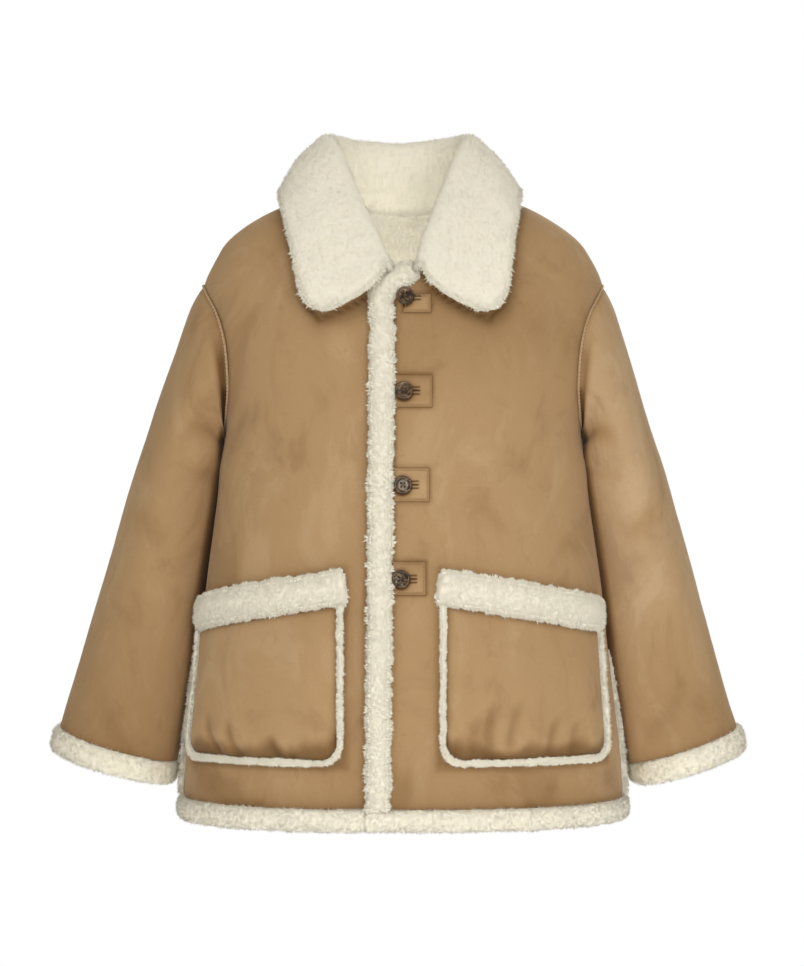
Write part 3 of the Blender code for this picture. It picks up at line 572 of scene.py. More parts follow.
# ---- meshes ----
@dataclass
class Surface:
    """Points, faces, the material index of each face and a value for each point.

    facing holds the normals that points are shaded with, or zero where the faces give them.
    """

    points: Array
    faces: Array
    finish: Array | None = None
    pile: Array | None = None
    facing: Array | None = None

    def __post_init__(self) -> None:
        """Use the first finish, a value of 1 and the faces' own normals where none are set."""
        if self.finish is None:
            self.finish = np.zeros(len(self.faces), dtype=np.int64)
        if self.pile is None:
            self.pile = np.ones(len(self.points))
        if self.facing is None:
            self.facing = np.zeros(self.points.shape)

    def join(self, other: "Surface") -> "Surface":
        """Both surfaces as one, without merging any points."""
        return Surface(np.concatenate((self.points, other.points)),
                       np.concatenate((self.faces, other.faces + len(self.points))),
                       np.concatenate((self.finish, other.finish)),
                       np.concatenate((self.pile, other.pile)),
                       np.concatenate((self.facing, other.facing)))


def quads(rows: int, columns: int, wrap_rows: bool, wrap_columns: bool) -> Array:
    """Indices of a grid's four-cornered faces, joined round where it wraps."""
    r = np.arange(rows if wrap_rows else rows - 1)
    c = np.arange(columns if wrap_columns else columns - 1)
    r, c = np.meshgrid(r, c, indexing="ij")
    r2, c2 = (r + 1) % rows, (c + 1) % columns
    return np.stack((r * columns + c, r * columns + c2, r2 * columns + c2, r2 * columns + c),
                    axis=-1).reshape(-1, 4)


def outward(surface: Surface) -> Surface:
    """The closed surface with its faces turned outwards, judged by the volume that they hold."""
    a, b, c, d = (surface.points[surface.faces[:, i]] for i in range(4))
    if np.sum(a * np.cross(b, c)) + np.sum(a * np.cross(c, d)) < 0:
        surface.faces = surface.faces[:, (0, 3, 2, 1)]
    return surface


def wall(outer: Array, inner: Array, closed: bool, finishes: tuple[int, int, int],
         pile: Array | None = None) -> Surface:
    """A cloth wall between two grids, with a rim round its open edges.

    Args:
        outer: grid of points on the outside.
        inner: grid of points on the inside.
        closed: whether the last column joins the first.
        finishes: material index of the outside, the inside and the rim.
        pile: a value for each outer point, where the finish reads one.

    Returns:
        The surface.
    """
    rows, columns = outer.shape[:2]
    half = rows * columns
    front = quads(rows, columns, False, closed)
    back = front[:, ::-1] + half
    last = columns if closed else columns - 1
    c = np.arange(last)
    beside = (c + 1) % columns
    end = (rows - 1) * columns
    rim = [np.stack((beside, c), axis=1), np.stack((end + c, end + beside), axis=1)]
    if not closed:
        r = np.arange(rows - 1) * columns
        rim += [np.stack((r, r + columns), axis=1),
                np.stack((r + 2 * columns - 1, r + columns - 1), axis=1)]
    rim = np.concatenate(rim)
    rim = np.concatenate((rim, rim[:, ::-1] + half), axis=1)
    points = np.concatenate((outer.reshape(-1, 3), inner.reshape(-1, 3)))
    finish = np.concatenate((np.full(len(front), finishes[0]), np.full(len(back), finishes[1]),
                             np.full(len(rim), finishes[2])))
    values = np.ones(half) if pile is None else pile.ravel()
    return outward(Surface(points, np.concatenate((front, back, rim)), finish,
                           np.concatenate((values, values))))


def mound(top: Array, base: Array, pile: Array) -> Surface:
    """A raised strip: a fine grid on top and a plain underside of three points to a row.

    Args:
        top: grid of points on the outside.
        base: for each row its two edges and its middle on the underside, edge, middle, edge.
        pile: a value for each point on top.

    Returns:
        The surface.
    """
    rows, columns = top.shape[:2]
    half = rows * columns
    low, middle, high = (half + k + 3 * np.arange(rows) for k in range(3))
    first, last = np.arange(rows) * columns, np.arange(rows) * columns + columns - 1
    faces = [quads(rows, columns, False, False)]
    for a, b in ((first, low), (high, last), (low, middle), (middle, high)):
        faces.append(np.stack((a[:-1], a[1:], b[1:], b[:-1]), axis=1))
    for row, way in ((0, 1), (rows - 1, -1)):
        ring = np.concatenate(((high[row],), np.arange(last[row], first[row] - 1, -1),
                               (low[row],)))[::way]
        hub = np.full(len(ring) - 1, middle[row])
        faces.append(np.stack((ring[:-1], ring[1:], hub, hub), axis=1))
    points = np.concatenate((top.reshape(-1, 3), base.reshape(-1, 3)))
    # The plain underside carries a low value, which paints shade under the strip.
    values = np.concatenate((pile.ravel(), np.full(3 * rows, 0.4)))
    return outward(Surface(points, np.concatenate(faces), pile=values))


def circles(line: Array, across: Array, third: Array, radius: Array | float,
            around: int) -> Array:
    """Rings of points round a line, in the plane of the two directions given at each place."""
    angle = turns(around)[None, :, None]
    wide = np.broadcast_to(np.asarray(radius, float), len(line))[:, None, None]
    return line[:, None] + wide * (np.cos(angle) * across[:, None] + np.sin(angle) * third[:, None])


def tube(rings: Array, closed: bool) -> Surface:
    """A solid through rings of points, with its two ends drawn in to a point, or joined round.

    Args:
        rings: count by around by three.
        closed: whether the last ring joins the first.

    Returns:
        The surface.
    """
    count, around = rings.shape[:2]
    faces = quads(count, around, closed, True)
    points = rings.reshape(-1, 3)
    if not closed:
        side, end = np.arange(around), len(points) - around
        beside = (side + 1) % around
        hub, far_hub = np.full(around, len(points)), np.full(around, len(points) + 1)
        faces = np.concatenate((faces, np.stack((side, hub, hub, beside), axis=1),
                                np.stack((end + side, end + beside, far_hub, far_hub), axis=1)))
        points = np.concatenate((points, rings[(0, -1), :].mean(axis=1)))
    return outward(Surface(points, faces))


def fibres(points: Array, normals: Array, count: int, length: float, width: float, lean: float,
           seed: int, facing: Array | None = None,
           droop: tuple[float, float, float] = (0.0, 0.0, 0.0), finish: int = 1,
           rough: float = 0.32, ragged: float = 0.0) -> Surface:
    """Locks of wool: three-sided spikes that stand on a surface and lean at random.

    A lock's foot is a small triangle sunk in the surface. Its tip is one length along the normal
    plus a random sideways lean. A lock is shaded as the surface that it stands on, which keeps
    the pile soft.

    Args:
        points: places on the surface to choose from.
        normals: the way that the locks point there.
        count: how many locks.
        length: their mean length.
        width: how wide a lock's foot is.
        lean: how far the tip may lean, as a share of the length.
        seed: fixes the choice.
        facing: the surface's own normals, where the locks don't point along them.
        droop: one direction in which all the locks lean a little as well.
        finish: material index.
        rough: how far the locks' shading differs from the surface's, the way that each leans.
        ragged: how much the length changes from one tuft of locks to the next.

    Returns:
        The surface.
    """
    chance = np.random.default_rng(seed)
    points, normals = points.reshape(-1, 3), normals.reshape(-1, 3)
    facing = normals if facing is None else facing.reshape(-1, 3)
    pick = chance.integers(0, len(points), count)
    base, normal = points[pick], normals[pick]
    other = unit(np.cross(normal, chance.normal(size=(count, 3))))
    third = np.cross(normal, other)
    base = base + (other * chance.normal(size=(count, 1)) + third
                   * chance.normal(size=(count, 1))) * PILE_STEP * 0.4
    size = length * chance.uniform(0.55, 1.25, (count, 1))
    size = size * np.clip(1 + ragged * noise(base, 0.0048, seed + 3), 0.2, 2.2)[:, None]
    spread = lean * chance.uniform(0.3, 1.0, (count, 1))
    tip = base + size * unit(normal + other * spread + droop) \
        + third * size * lean * 0.4 * chance.normal(size=(count, 1))
    half = width * chance.uniform(0.7, 1.2, (count, 1)) / 2
    corners = [base - normal * LOCK_SINK + half * (math.cos(a) * other + math.sin(a) * third)
               for a in LOCK_CORNERS]
    made = np.stack(corners + [tip], axis=1).reshape(-1, 3)
    start = np.arange(count)[:, None] * 4
    faces = np.concatenate([start + (a, b, 3, 3) for a, b in ((0, 1), (1, 2), (2, 0))])
    pile = np.tile(LOCK_VALUES, count)
    lock = tip - base
    aside = unit(lock - np.sum(lock * normal, axis=1, keepdims=True) * normal)
    shading = np.repeat(unit(facing[pick] + rough * aside), 4, axis=0)
    return Surface(made, faces, np.full(len(faces), finish), pile, shading)


def in_scene(name: str, data: bpy.types.ID) -> bpy.types.Object:
    """A new object for a mesh, a lamp or a camera, in the scene."""
    made = bpy.data.objects.new(name, data)
    bpy.context.scene.collection.objects.link(made)
    return made


def place(name: str, surface: Surface, finishes: list[Material], slot: str,
          node: str | None, smooth_angle: float = 60.0) -> bpy.types.Object:
    """Put a surface into Blender as one piece that rides on the coat.

    Args:
        name: the piece's name.
        surface: its points and faces; a face with a repeated last point has three corners.
        finishes: its materials, in the order of the face indices.
        slot: not used.
        node: the CAD node that it stands for, if any.
        smooth_angle: edges sharper than this many degrees stay sharp.

    Returns:
        The piece.
    """
    faces = surface.faces
    keep = np.ones(faces.shape, bool)
    keep[faces[:, 2] == faces[:, 3], 3] = False
    keep[faces[:, 1] == faces[:, 2], 2] = False
    loops = faces[keep]
    mesh = bpy.data.meshes.new(name)
    mesh.vertices.add(len(surface.points))
    mesh.vertices.foreach_set("co", surface.points.astype(np.float32).ravel())
    mesh.loops.add(len(loops))
    mesh.loops.foreach_set("vertex_index", loops.astype(np.int32))
    mesh.polygons.add(len(faces))
    starts = np.concatenate(([0], np.cumsum(keep.sum(axis=1))[:-1]))
    mesh.polygons.foreach_set("loop_start", starts.astype(np.int32))
    mesh.polygons.foreach_set("material_index", surface.finish.astype(np.int32))
    mesh.update(calc_edges=True)
    mesh.validate()
    # The pile value: on suede a multiplier of its colour that holds painted light and shade, and on
    # the fronts darker patches near the hem; on wool how deep in the pile a point lies, which
    # paints shade.
    pile = mesh.attributes.new("pile", "FLOAT", "POINT")
    pile.data.foreach_set("value", surface.pile.astype(np.float32))
    for made in finishes:
        mesh.materials.append(made)
    mesh.shade_smooth()
    mesh.set_sharp_from_angle(angle=math.radians(smooth_angle))
    if np.any(surface.facing):
        mesh.normals_split_custom_set_from_vertices(surface.facing.tolist())
    piece = in_scene(name, mesh)
    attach(piece, "root")
    if node is not None:
        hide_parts(node)
    LOG.info("%s: %d points, %d faces", name, len(surface.points), len(faces))
    return piece


# ---- finishes ----


@dataclass
class NodeBook:
    """Short calls that add and join the nodes of one tree."""

    tree: NodeTree

    def add(self, kind: str, settings: dict[str, object] | None = None,
            **inputs: object) -> Node:
        """Add a node.

        Args:
            kind: the node's type.
            settings: its own properties.
            inputs: its sockets' values, or the sockets that they are joined to. An underscore
                stands for a space, and inN for the socket's place.

        Returns:
            The node.
        """
        node = self.tree.nodes.new(kind)
        for name, value in (settings or {}).items():
            setattr(node, name, value)
        return self.fill(node, **inputs)

    def fill(self, node: Node, **inputs: object) -> Node:
        """Give a node's sockets values, or join them to others, named as in add."""
        for name, value in inputs.items():
            key = int(name[2:]) if name.startswith("in") and name[2:].isdigit() \
                else name.replace("_", " ")
            socket = node.inputs[key]
            if isinstance(value, Socket):
                self.tree.links.new(value, socket)
            else:
                socket.default_value = value
        return node

    def mix(self, factor: object, first: object, second: object, mode: str = "MIX") -> Socket:
        """A colour between two others, or one laid on the other."""
        return self.add("ShaderNodeMix", {"data_type": "RGBA", "blend_type": mode},
                        in0=factor, in6=first, in7=second).outputs[2]

    def ramp(self, value: Socket, low: float, high: float) -> Socket:
        """0 where the value is under low, 1 where it is over high, and smooth between."""
        return self.add("ShaderNodeMapRange", {"interpolation_type": "SMOOTHSTEP"}, Value=value,
                        From_Min=low, From_Max=high).outputs["Result"]

    def sum(self, first: object, second: object, mode: str = "ADD") -> Socket:
        """Two numbers added, or joined by another operation."""
        return self.add("ShaderNodeMath", {"operation": mode}, in0=first, in1=second).outputs[0]

    def times(self, first: object, second: object) -> Socket:
        """Two numbers multiplied."""
        return self.sum(first, second, "MULTIPLY")

    def place(self) -> Socket:
        """The place in the piece's own metres."""
        return self.add("ShaderNodeTexCoord").outputs["Object"]

    def pile(self) -> Socket:
        """The value that each point of the mesh carries."""
        return self.add("ShaderNodeAttribute", {"attribute_name": "pile"}).outputs["Fac"]

    def relief(self, height: Socket, strength: float, depth: float) -> Socket:
        """The normal, tilted by a height."""
        return self.add("ShaderNodeBump", Strength=strength, Distance=depth,
                        Height=height).outputs[0]

    def clouds(self, place: Socket, size: float, detail: float = 3.0, rough: float = 0.5,
               warp: float = 0.0) -> Socket:
        """Noise whose patches are about the given size in metres."""
        return self.add("ShaderNodeTexNoise", Vector=place, Scale=1.0 / size, Detail=detail,
                        Roughness=rough, Distortion=warp).outputs[0]

    def stretched(self, place: Socket, scale: tuple[float, float, float]) -> Socket:
        """The place scaled on each axis."""
        return self.add("ShaderNodeMapping", Vector=place, Scale=scale).outputs[0]


def new_group(name: str, **inputs: object) -> tuple[NodeBook, Node, Node]:
    """A shader group that gives a colour and a height.

    Args:
        name: the group's name.
        inputs: the default of each input, a colour or a number.

    Returns:
        Its node book, its input node and its output node.
    """
    tree = bpy.data.node_groups.new(name, "ShaderNodeTree")
    for label, value in inputs.items():
        kind = "NodeSocketColor" if isinstance(value, tuple) else "NodeSocketFloat"
        socket = tree.interface.new_socket(label, in_out="INPUT", socket_type=kind)
        socket.default_value = value
    for label, kind in (("Color", "NodeSocketColor"), ("Height", "NodeSocketFloat")):
        tree.interface.new_socket(label, in_out="OUTPUT", socket_type=kind)
    book = NodeBook(tree)
    return book, book.add("NodeGroupInput"), book.add("NodeGroupOutput")


def nap_group() -> NodeTree:
    """Brushed suede: wide clouds where the nap lies another way, thin brush marks and grain, times
    the painted light and shade that each point carries.
    """
    book, given, out = new_group("suede_nap", Base=(0.42, 0.27, 0.14, 1), Clouding=0.6,
                                 Brushed=(0.33, 0.20, 0.10, 1), Faded=(0.50, 0.34, 0.19, 1))
    place = book.place()
    upright = book.stretched(place, (1.0, 1.0, 0.6))
    clouds = book.clouds(upright, 0.075, 4.0, 0.62, 0.7)
    patches = book.clouds(book.stretched(place, (1.3, 1.3, 1.0)), 0.030, 4.0, 0.6, 0.9)
    marks = book.clouds(book.stretched(place, (0.35, 0.35, 2.6)), 0.016, 3.0, 0.6)
    grain = book.clouds(place, 0.0016, 2.0, 0.6)
    fibre = book.clouds(book.stretched(place, (1.0, 1.0, 0.45)), 0.0045, 2.0, 0.6)
    dark = book.times(book.ramp(clouds, 0.52, 0.68), given.outputs["Clouding"])
    light = book.times(book.ramp(clouds, 0.50, 0.34), given.outputs["Clouding"])
    colour = book.mix(dark, given.outputs["Base"], given.outputs["Brushed"])
    colour = book.mix(light, colour, given.outputs["Faded"])
    smudge = book.times(book.ramp(patches, 0.56, 0.72), 0.32)
    colour = book.mix(smudge, colour, given.outputs["Brushed"])
    swipe = book.times(book.ramp(marks, 0.58, 0.78), 0.16)
    colour = book.mix(swipe, colour, given.outputs["Faded"])
    speck = book.times(book.ramp(grain, 0.30, 0.75), 0.20)
    colour = book.mix(speck, colour, given.outputs["Brushed"])
    painted_light_and_patches = book.pile()
    # Painted shade where the value is under 1, made warmer as shadows are, and a paler painted
    # highlight where it is over 1.
    over = book.sum(painted_light_and_patches, 1.0, "MAXIMUM")
    green = book.times(book.sum(painted_light_and_patches, 1.18, "POWER"), book.sum(over, 0.3, "POWER"))
    blue = book.times(book.sum(painted_light_and_patches, 1.45, "POWER"), book.sum(over, 0.9, "POWER"))
    shade = book.add("ShaderNodeCombineColor", in0=painted_light_and_patches, in1=green, in2=blue).outputs[0]
    colour = book.mix(1.0, colour, shade, "MULTIPLY")
    height = book.sum(book.times(grain, 0.6), book.times(fibre, 0.4))
    book.fill(out, Color=colour, Height=height)
    return book.tree


def wool_group() -> NodeTree:
    """Curled wool: painted shade towards the roots and in the hollows between locks, slightly
    mottled, with fine curls as height.
    """
    book, given, out = new_group("wool_curls", Tip=(0.82, 0.77, 0.64, 1),
                                 Root=(0.60, 0.53, 0.38, 1), Mottle=0.4)
    place, pile = book.place(), book.pile()
    locks = book.clouds(place, 0.0042, 2.0, 0.55, 1.2)
    fine = book.clouds(place, 0.0013, 2.0, 0.6, 0.8)
    wide = book.clouds(book.stretched(place, (0.6, 0.6, 2.4)), 0.030, 3.0, 0.55)
    depth = book.sum(book.times(pile, 0.75), book.times(locks, 0.35))
    colour = book.mix(book.ramp(depth, 0.12, 0.72), given.outputs["Root"], given.outputs["Tip"])
    shade = book.times(book.ramp(wide, 0.45, 0.75), given.outputs["Mottle"])
    colour = book.mix(book.times(shade, 0.35), colour, given.outputs["Root"])
    height = book.sum(book.times(locks, 0.65), book.times(fine, 0.35))
    book.fill(out, Color=colour, Height=height)
    return book.tree


Colour = tuple[float, float, float, float]


def blank_material(name: str) -> tuple[Material, NodeBook, Node]:
    """A new material, the book of its nodes and its shader."""
    made = bpy.data.materials.new(name)
    made.use_nodes = True
    return made, NodeBook(made.node_tree), made.node_tree.nodes["Principled BSDF"]


@dataclass(frozen=True)
class Suede:
    """Napped suede."""

    name: str
    base: Colour = (0.440, 0.280, 0.140, 1.0)
    brushed: Colour = (0.345, 0.208, 0.098, 1.0)
    faded: Colour = (0.500, 0.335, 0.182, 1.0)
    clouding: float = 0.75
    depth: float = 0.0006

    def made(self, nap: NodeTree) -> Material:
        """Build the material from the shared nap group."""
        made, book, shader = blank_material(self.name)
        group = book.add("ShaderNodeGroup", {"node_tree": nap}, Base=self.base,
                         Brushed=self.brushed, Faded=self.faded, Clouding=self.clouding)
        relief = book.relief(group.outputs["Height"], 0.35, self.depth)
        book.fill(shader, Base_Color=group.outputs["Color"], Normal=relief,
                  Roughness=0.9, Specular_IOR_Level=0.15, Sheen_Weight=0.22,
                  Sheen_Roughness=0.45, Sheen_Tint=(1.0, 0.86, 0.68, 1.0))
        return made


@dataclass(frozen=True)
class Wool:
    """Cream wool pile."""

    name: str
    tip: Colour = (0.930, 0.875, 0.720, 1.0)
    root: Colour = (0.830, 0.750, 0.570, 1.0)
    mottle: float = 0.4
    soft: float = 0.35

    def made(self, curls_group: NodeTree) -> Material:
        """Build the material from the shared curls group."""
        made, book, shader = blank_material(self.name)
        group = book.add("ShaderNodeGroup", {"node_tree": curls_group}, Tip=self.tip,
                         Root=self.root, Mottle=self.mottle)
        relief = book.relief(group.outputs["Height"], 0.20, 0.0010)
        book.fill(shader, Base_Color=group.outputs["Color"], Normal=relief,
                  Roughness=0.95, Specular_IOR_Level=0.1, Subsurface_Weight=self.soft,
                  Subsurface_Radius=(1.0, 0.95, 0.8), Subsurface_Scale=0.004,
                  Sheen_Weight=0.20, Sheen_Roughness=0.5, Sheen_Tint=(1.0, 0.96, 0.88, 1.0))
        return made


@dataclass(frozen=True)
class Horn:
    """Polished horn: dark brown with amber and grey swirls."""

    name: str = "horn"

    def made(self) -> Material:
        """Build the material."""
        made, book, shader = blank_material(self.name)
        place = book.place()
        swirl = book.clouds(book.stretched(place, (1.0, 1.0, 1.6)), 0.014, 3.0, 0.6, 1.6)
        vein = book.clouds(place, 0.008, 2.0, 0.6, 1.8)
        colour = book.mix(book.ramp(swirl, 0.42, 0.66), (0.017, 0.011, 0.008, 1),
                          (0.150, 0.086, 0.044, 1))
        colour = book.mix(book.ramp(vein, 0.62, 0.78), colour, (0.42, 0.30, 0.19, 1))
        book.fill(shader, Base_Color=colour, Roughness=0.22, Coat_Weight=0.15,
                  Coat_Roughness=0.10, Specular_Tint=(1.0, 0.84, 0.66, 1.0))
        return made


@dataclass(frozen=True)
class Thread:
    """Twisted sewing thread."""

    name: str
    colour: Colour
    shade: Colour

    def made(self) -> Material:
        """Build the material."""
        made, book, shader = blank_material(self.name)
        place = book.place()
        twist = book.clouds(place, 0.0006, 1.0)
        colour = book.mix(book.ramp(twist, 0.35, 0.7), self.colour, self.shade)
        book.fill(shader, Base_Color=colour, Normal=book.relief(twist, 0.5, 0.0002), Roughness=0.7)
        return made


class Finishes:
    """Every material of the coat, made once."""

    def __init__(self) -> None:
        """Make the groups and the materials."""
        nap, curled = nap_group(), wool_group()
        self.suede = Suede("suede").made(nap)
        self.piping = Suede("piping", base=(0.47, 0.31, 0.165, 1), brushed=(0.36, 0.22, 0.11, 1),
                            faded=(0.55, 0.39, 0.22, 1), clouding=0.3).made(nap)
        self.wool = Wool("wool").made(curled)
        self.locks = Wool("wool_locks", tip=(0.95, 0.90, 0.75, 1), root=(0.88, 0.81, 0.64, 1),
                          mottle=0.1, soft=0.0).made(curled)
        self.lining = Wool("lining_wool", tip=(0.93, 0.88, 0.75, 1),
                           root=(0.80, 0.72, 0.57, 1), mottle=0.5).made(curled)
        self.collar_wool = Wool("collar_wool", tip=(0.91, 0.865, 0.738, 1),
                                root=(0.85, 0.785, 0.635, 1), mottle=0.3).made(curled)
        self.shearling = [self.suede, self.lining]
        self.fleece = [self.wool, self.locks]
        self.horn = Horn().made()
        self.thread = Thread("seam_thread", (0.40, 0.26, 0.14, 1), (0.28, 0.17, 0.085, 1)).made()
        self.pale_thread = Thread("pale_thread", (0.66, 0.52, 0.36, 1),
                                  (0.50, 0.37, 0.23, 1)).made()
        self.dark_thread = Thread("button_thread", (0.10, 0.07, 0.05, 1),
                                  (0.05, 0.035, 0.025, 1)).made()


# ---- relief shared by everything that lies on the body ----
FRONT_CREASES = creases(
    # start and end, each as signed distance round the section and height,  width, height
    (-0.205, -0.300, -0.120, -0.262, 0.012, 0.0028),
    (-0.205, -0.325, -0.135, -0.300, 0.010, -0.0020),
    (0.210, -0.298, 0.130, -0.255, 0.012, 0.0030),
    (0.205, -0.328, 0.120, -0.306, 0.011, -0.0022),
    (-0.150, -0.080, -0.195, -0.170, 0.016, -0.0020),
    (0.140, -0.085, 0.190, -0.175, 0.016, -0.0022),
    (-0.055, -0.200, -0.085, -0.420, 0.026, 0.0018),
    (0.065, -0.180, 0.110, -0.400, 0.030, 0.0020),
    (0.040, -0.238, 0.105, -0.218, 0.009, -0.0010),
    (0.034, -0.350, 0.100, -0.385, 0.012, -0.0012),
    (0.035, -0.462, 0.120, -0.485, 0.010, 0.0010),
    (-0.060, -0.400, -0.160, -0.430, 0.014, -0.0014),
    (-0.080, -0.668, -0.210, -0.682, 0.009, -0.0015),
    (0.090, -0.672, 0.230, -0.680, 0.009, -0.0014),
)
BACK_CREASES = creases(
    (-0.200, -0.300, -0.110, -0.258, 0.013, 0.0030),
    (0.205, -0.302, 0.120, -0.266, 0.013, 0.0028),
    (-0.205, -0.330, -0.125, -0.305, 0.011, -0.0022),
    (0.200, -0.330, 0.115, -0.300, 0.011, -0.0024),
    (-0.040, -0.110, -0.095, -0.420, 0.030, 0.0024),
    (0.050, -0.130, 0.100, -0.460, 0.032, -0.0022),
    (0.000, -0.330, 0.020, -0.640, 0.036, 0.0026),
    (-0.140, -0.430, -0.165, -0.660, 0.028, -0.0024),
    (0.150, -0.420, 0.180, -0.670, 0.028, 0.0022),
    (-0.120, -0.070, -0.180, -0.170, 0.016, -0.0022),
    (0.125, -0.075, 0.185, -0.165, 0.016, -0.0020),
)


def body_relief(s: Array, z: Array, front: bool) -> Array:
    """How far the cloth stands off the plain surface: its slack and its creases."""
    points = BODY.point(s, z, front)
    lift = slack(points, 11 if front else 29)
    lift = lift + creased(s, z, FRONT_CREASES if front else BACK_CREASES)
    calm = ease((z - HEM_Z) / 0.03) * ease((TOP_Z - z) / 0.02)
    underarm = bell(z - UNDERARM_Z, -0.030, 0.030) * ease((np.abs(s) - 0.17) / 0.06)
    return lift * (0.35 + 0.65 * calm) + UNDERARM_SWELL * underarm


def on_body(s: Array, z: Array, front: bool, out: Array | float = 0.0) -> Array:
    """Points on the creased body, moved out from it."""
    s, z, out = alike(s, z, out)
    return BODY.point(s, z, front, out + body_relief(s, z, front))


def seam_roll(distance: Array, depth: float = 0.0011, width: float = 0.0045) -> Array:
    """How far cloth turns in at a seam: all of the depth on it and none a width away."""
    return -depth * (1.0 - ease(distance / width))


def shaded(*rims: tuple[Array, float, float]) -> Array:
    """Painted shade on suede beside what is sewn to it or lies over it.

    Args:
        rims: for each seam or edge, the distance from it, how far its shade reaches and how
            deep it is.

    Returns:
        1 in the open, and less towards the rims.
    """
    light = np.ones(1)
    for distance, reach, depth in rims:
        light = light * (1.0 - depth * np.exp(-np.maximum(distance, 0.0) / reach))
    return light


def below_collar(points: Array) -> Array:
    """How far each point lies from the collar's outline, a little below it, seen from the front,
    for the painted shadow under the collar.
    """
    grid = Collar.shape()
    seen = points[..., (0, 2)] + (0.0, 0.004)
    nearest = np.full(points.shape[:-1], 1.0)
    for part in (grid[:12, -1], grid[-12:, -1], grid[0], grid[-1]):
        line = smooth_path(part[:, (0, 2)], 0.003)
        for x, z in line:
            nearest = np.minimum(nearest, np.hypot(seen[..., 0] - x, seen[..., 1] - z))
    return nearest


def front_shade(s: Array, z: Array, side: Side) -> Array:
    """The painted shade on a front: at the hem, beside the placket strip, round the pocket and the
    button patches, at the side, and a painted shadow under the collar and on the wearer's left
    chest; and darker patches near the hem.
    """
    strip = front_edge(z) - 0.001 + (0.0265 if side is Side.LEFT else 0.0)
    across = side.value * s - Pockets.inner[side.word]
    pocket = np.hypot(outside(across, 0.0, Pockets.width),
                      outside(z, Pockets.bottom, Pockets.top(across)))
    # A painted shadow on the wearer's left chest below the collar's point, and darker patches near
    # the hem from noise.
    wing_shadow = 0.13 * bell(z, -0.170, 0.055) if side is Side.LEFT else 0.0
    hem_patches = noise(np.stack((s, z, z * 0), axis=-1), 0.028, 207)
    painted_light_and_patches = 1 - wing_shadow - 0.16 * ease(hem_patches * 1.6) * ease((HEM_Z + 0.055 - z) / 0.03)
    if side is Side.LEFT:
        # Painted shade round each button patch.
        for _, _, left, right, bottom, patch_top in BUTTONS:
            patch = np.hypot(outside(s, left, right), outside(z, bottom, patch_top))
            painted_light_and_patches = painted_light_and_patches * shaded((patch, 0.0018, 0.42))
    collar = below_collar(BODY.point(s, z, True))
    near_strip, far_strip = (0.66, 0.14) if side is Side.LEFT else (0.40, 0.05)
    return painted_light_and_patches * shaded((z - HEM_Z, 0.030, 0.24), (z - HEM_Z, 0.0035, 0.22),
                         (np.abs(s - strip), 0.0020, near_strip),
                         (np.abs(s - strip), 0.0090, far_strip),
                         (pocket, 0.0030, 0.34), (pocket, 0.014, 0.08),
                         (side_limit(z, True) - np.abs(s), 0.0035, 0.50),
                         (collar, 0.009, 0.50), (collar, 0.0024, 0.45))


def fleecy(inner: Array, normals: Array, seed: int) -> Array:
    """The wool face of the wall: lumps that stand in from it."""
    lumps = noise(inner, 0.009, seed) * 0.6 + noise(inner, 0.0045, seed + 3) * 0.4
    return inner - normals * (FLEECE_LUMPS * lumps)[..., None]


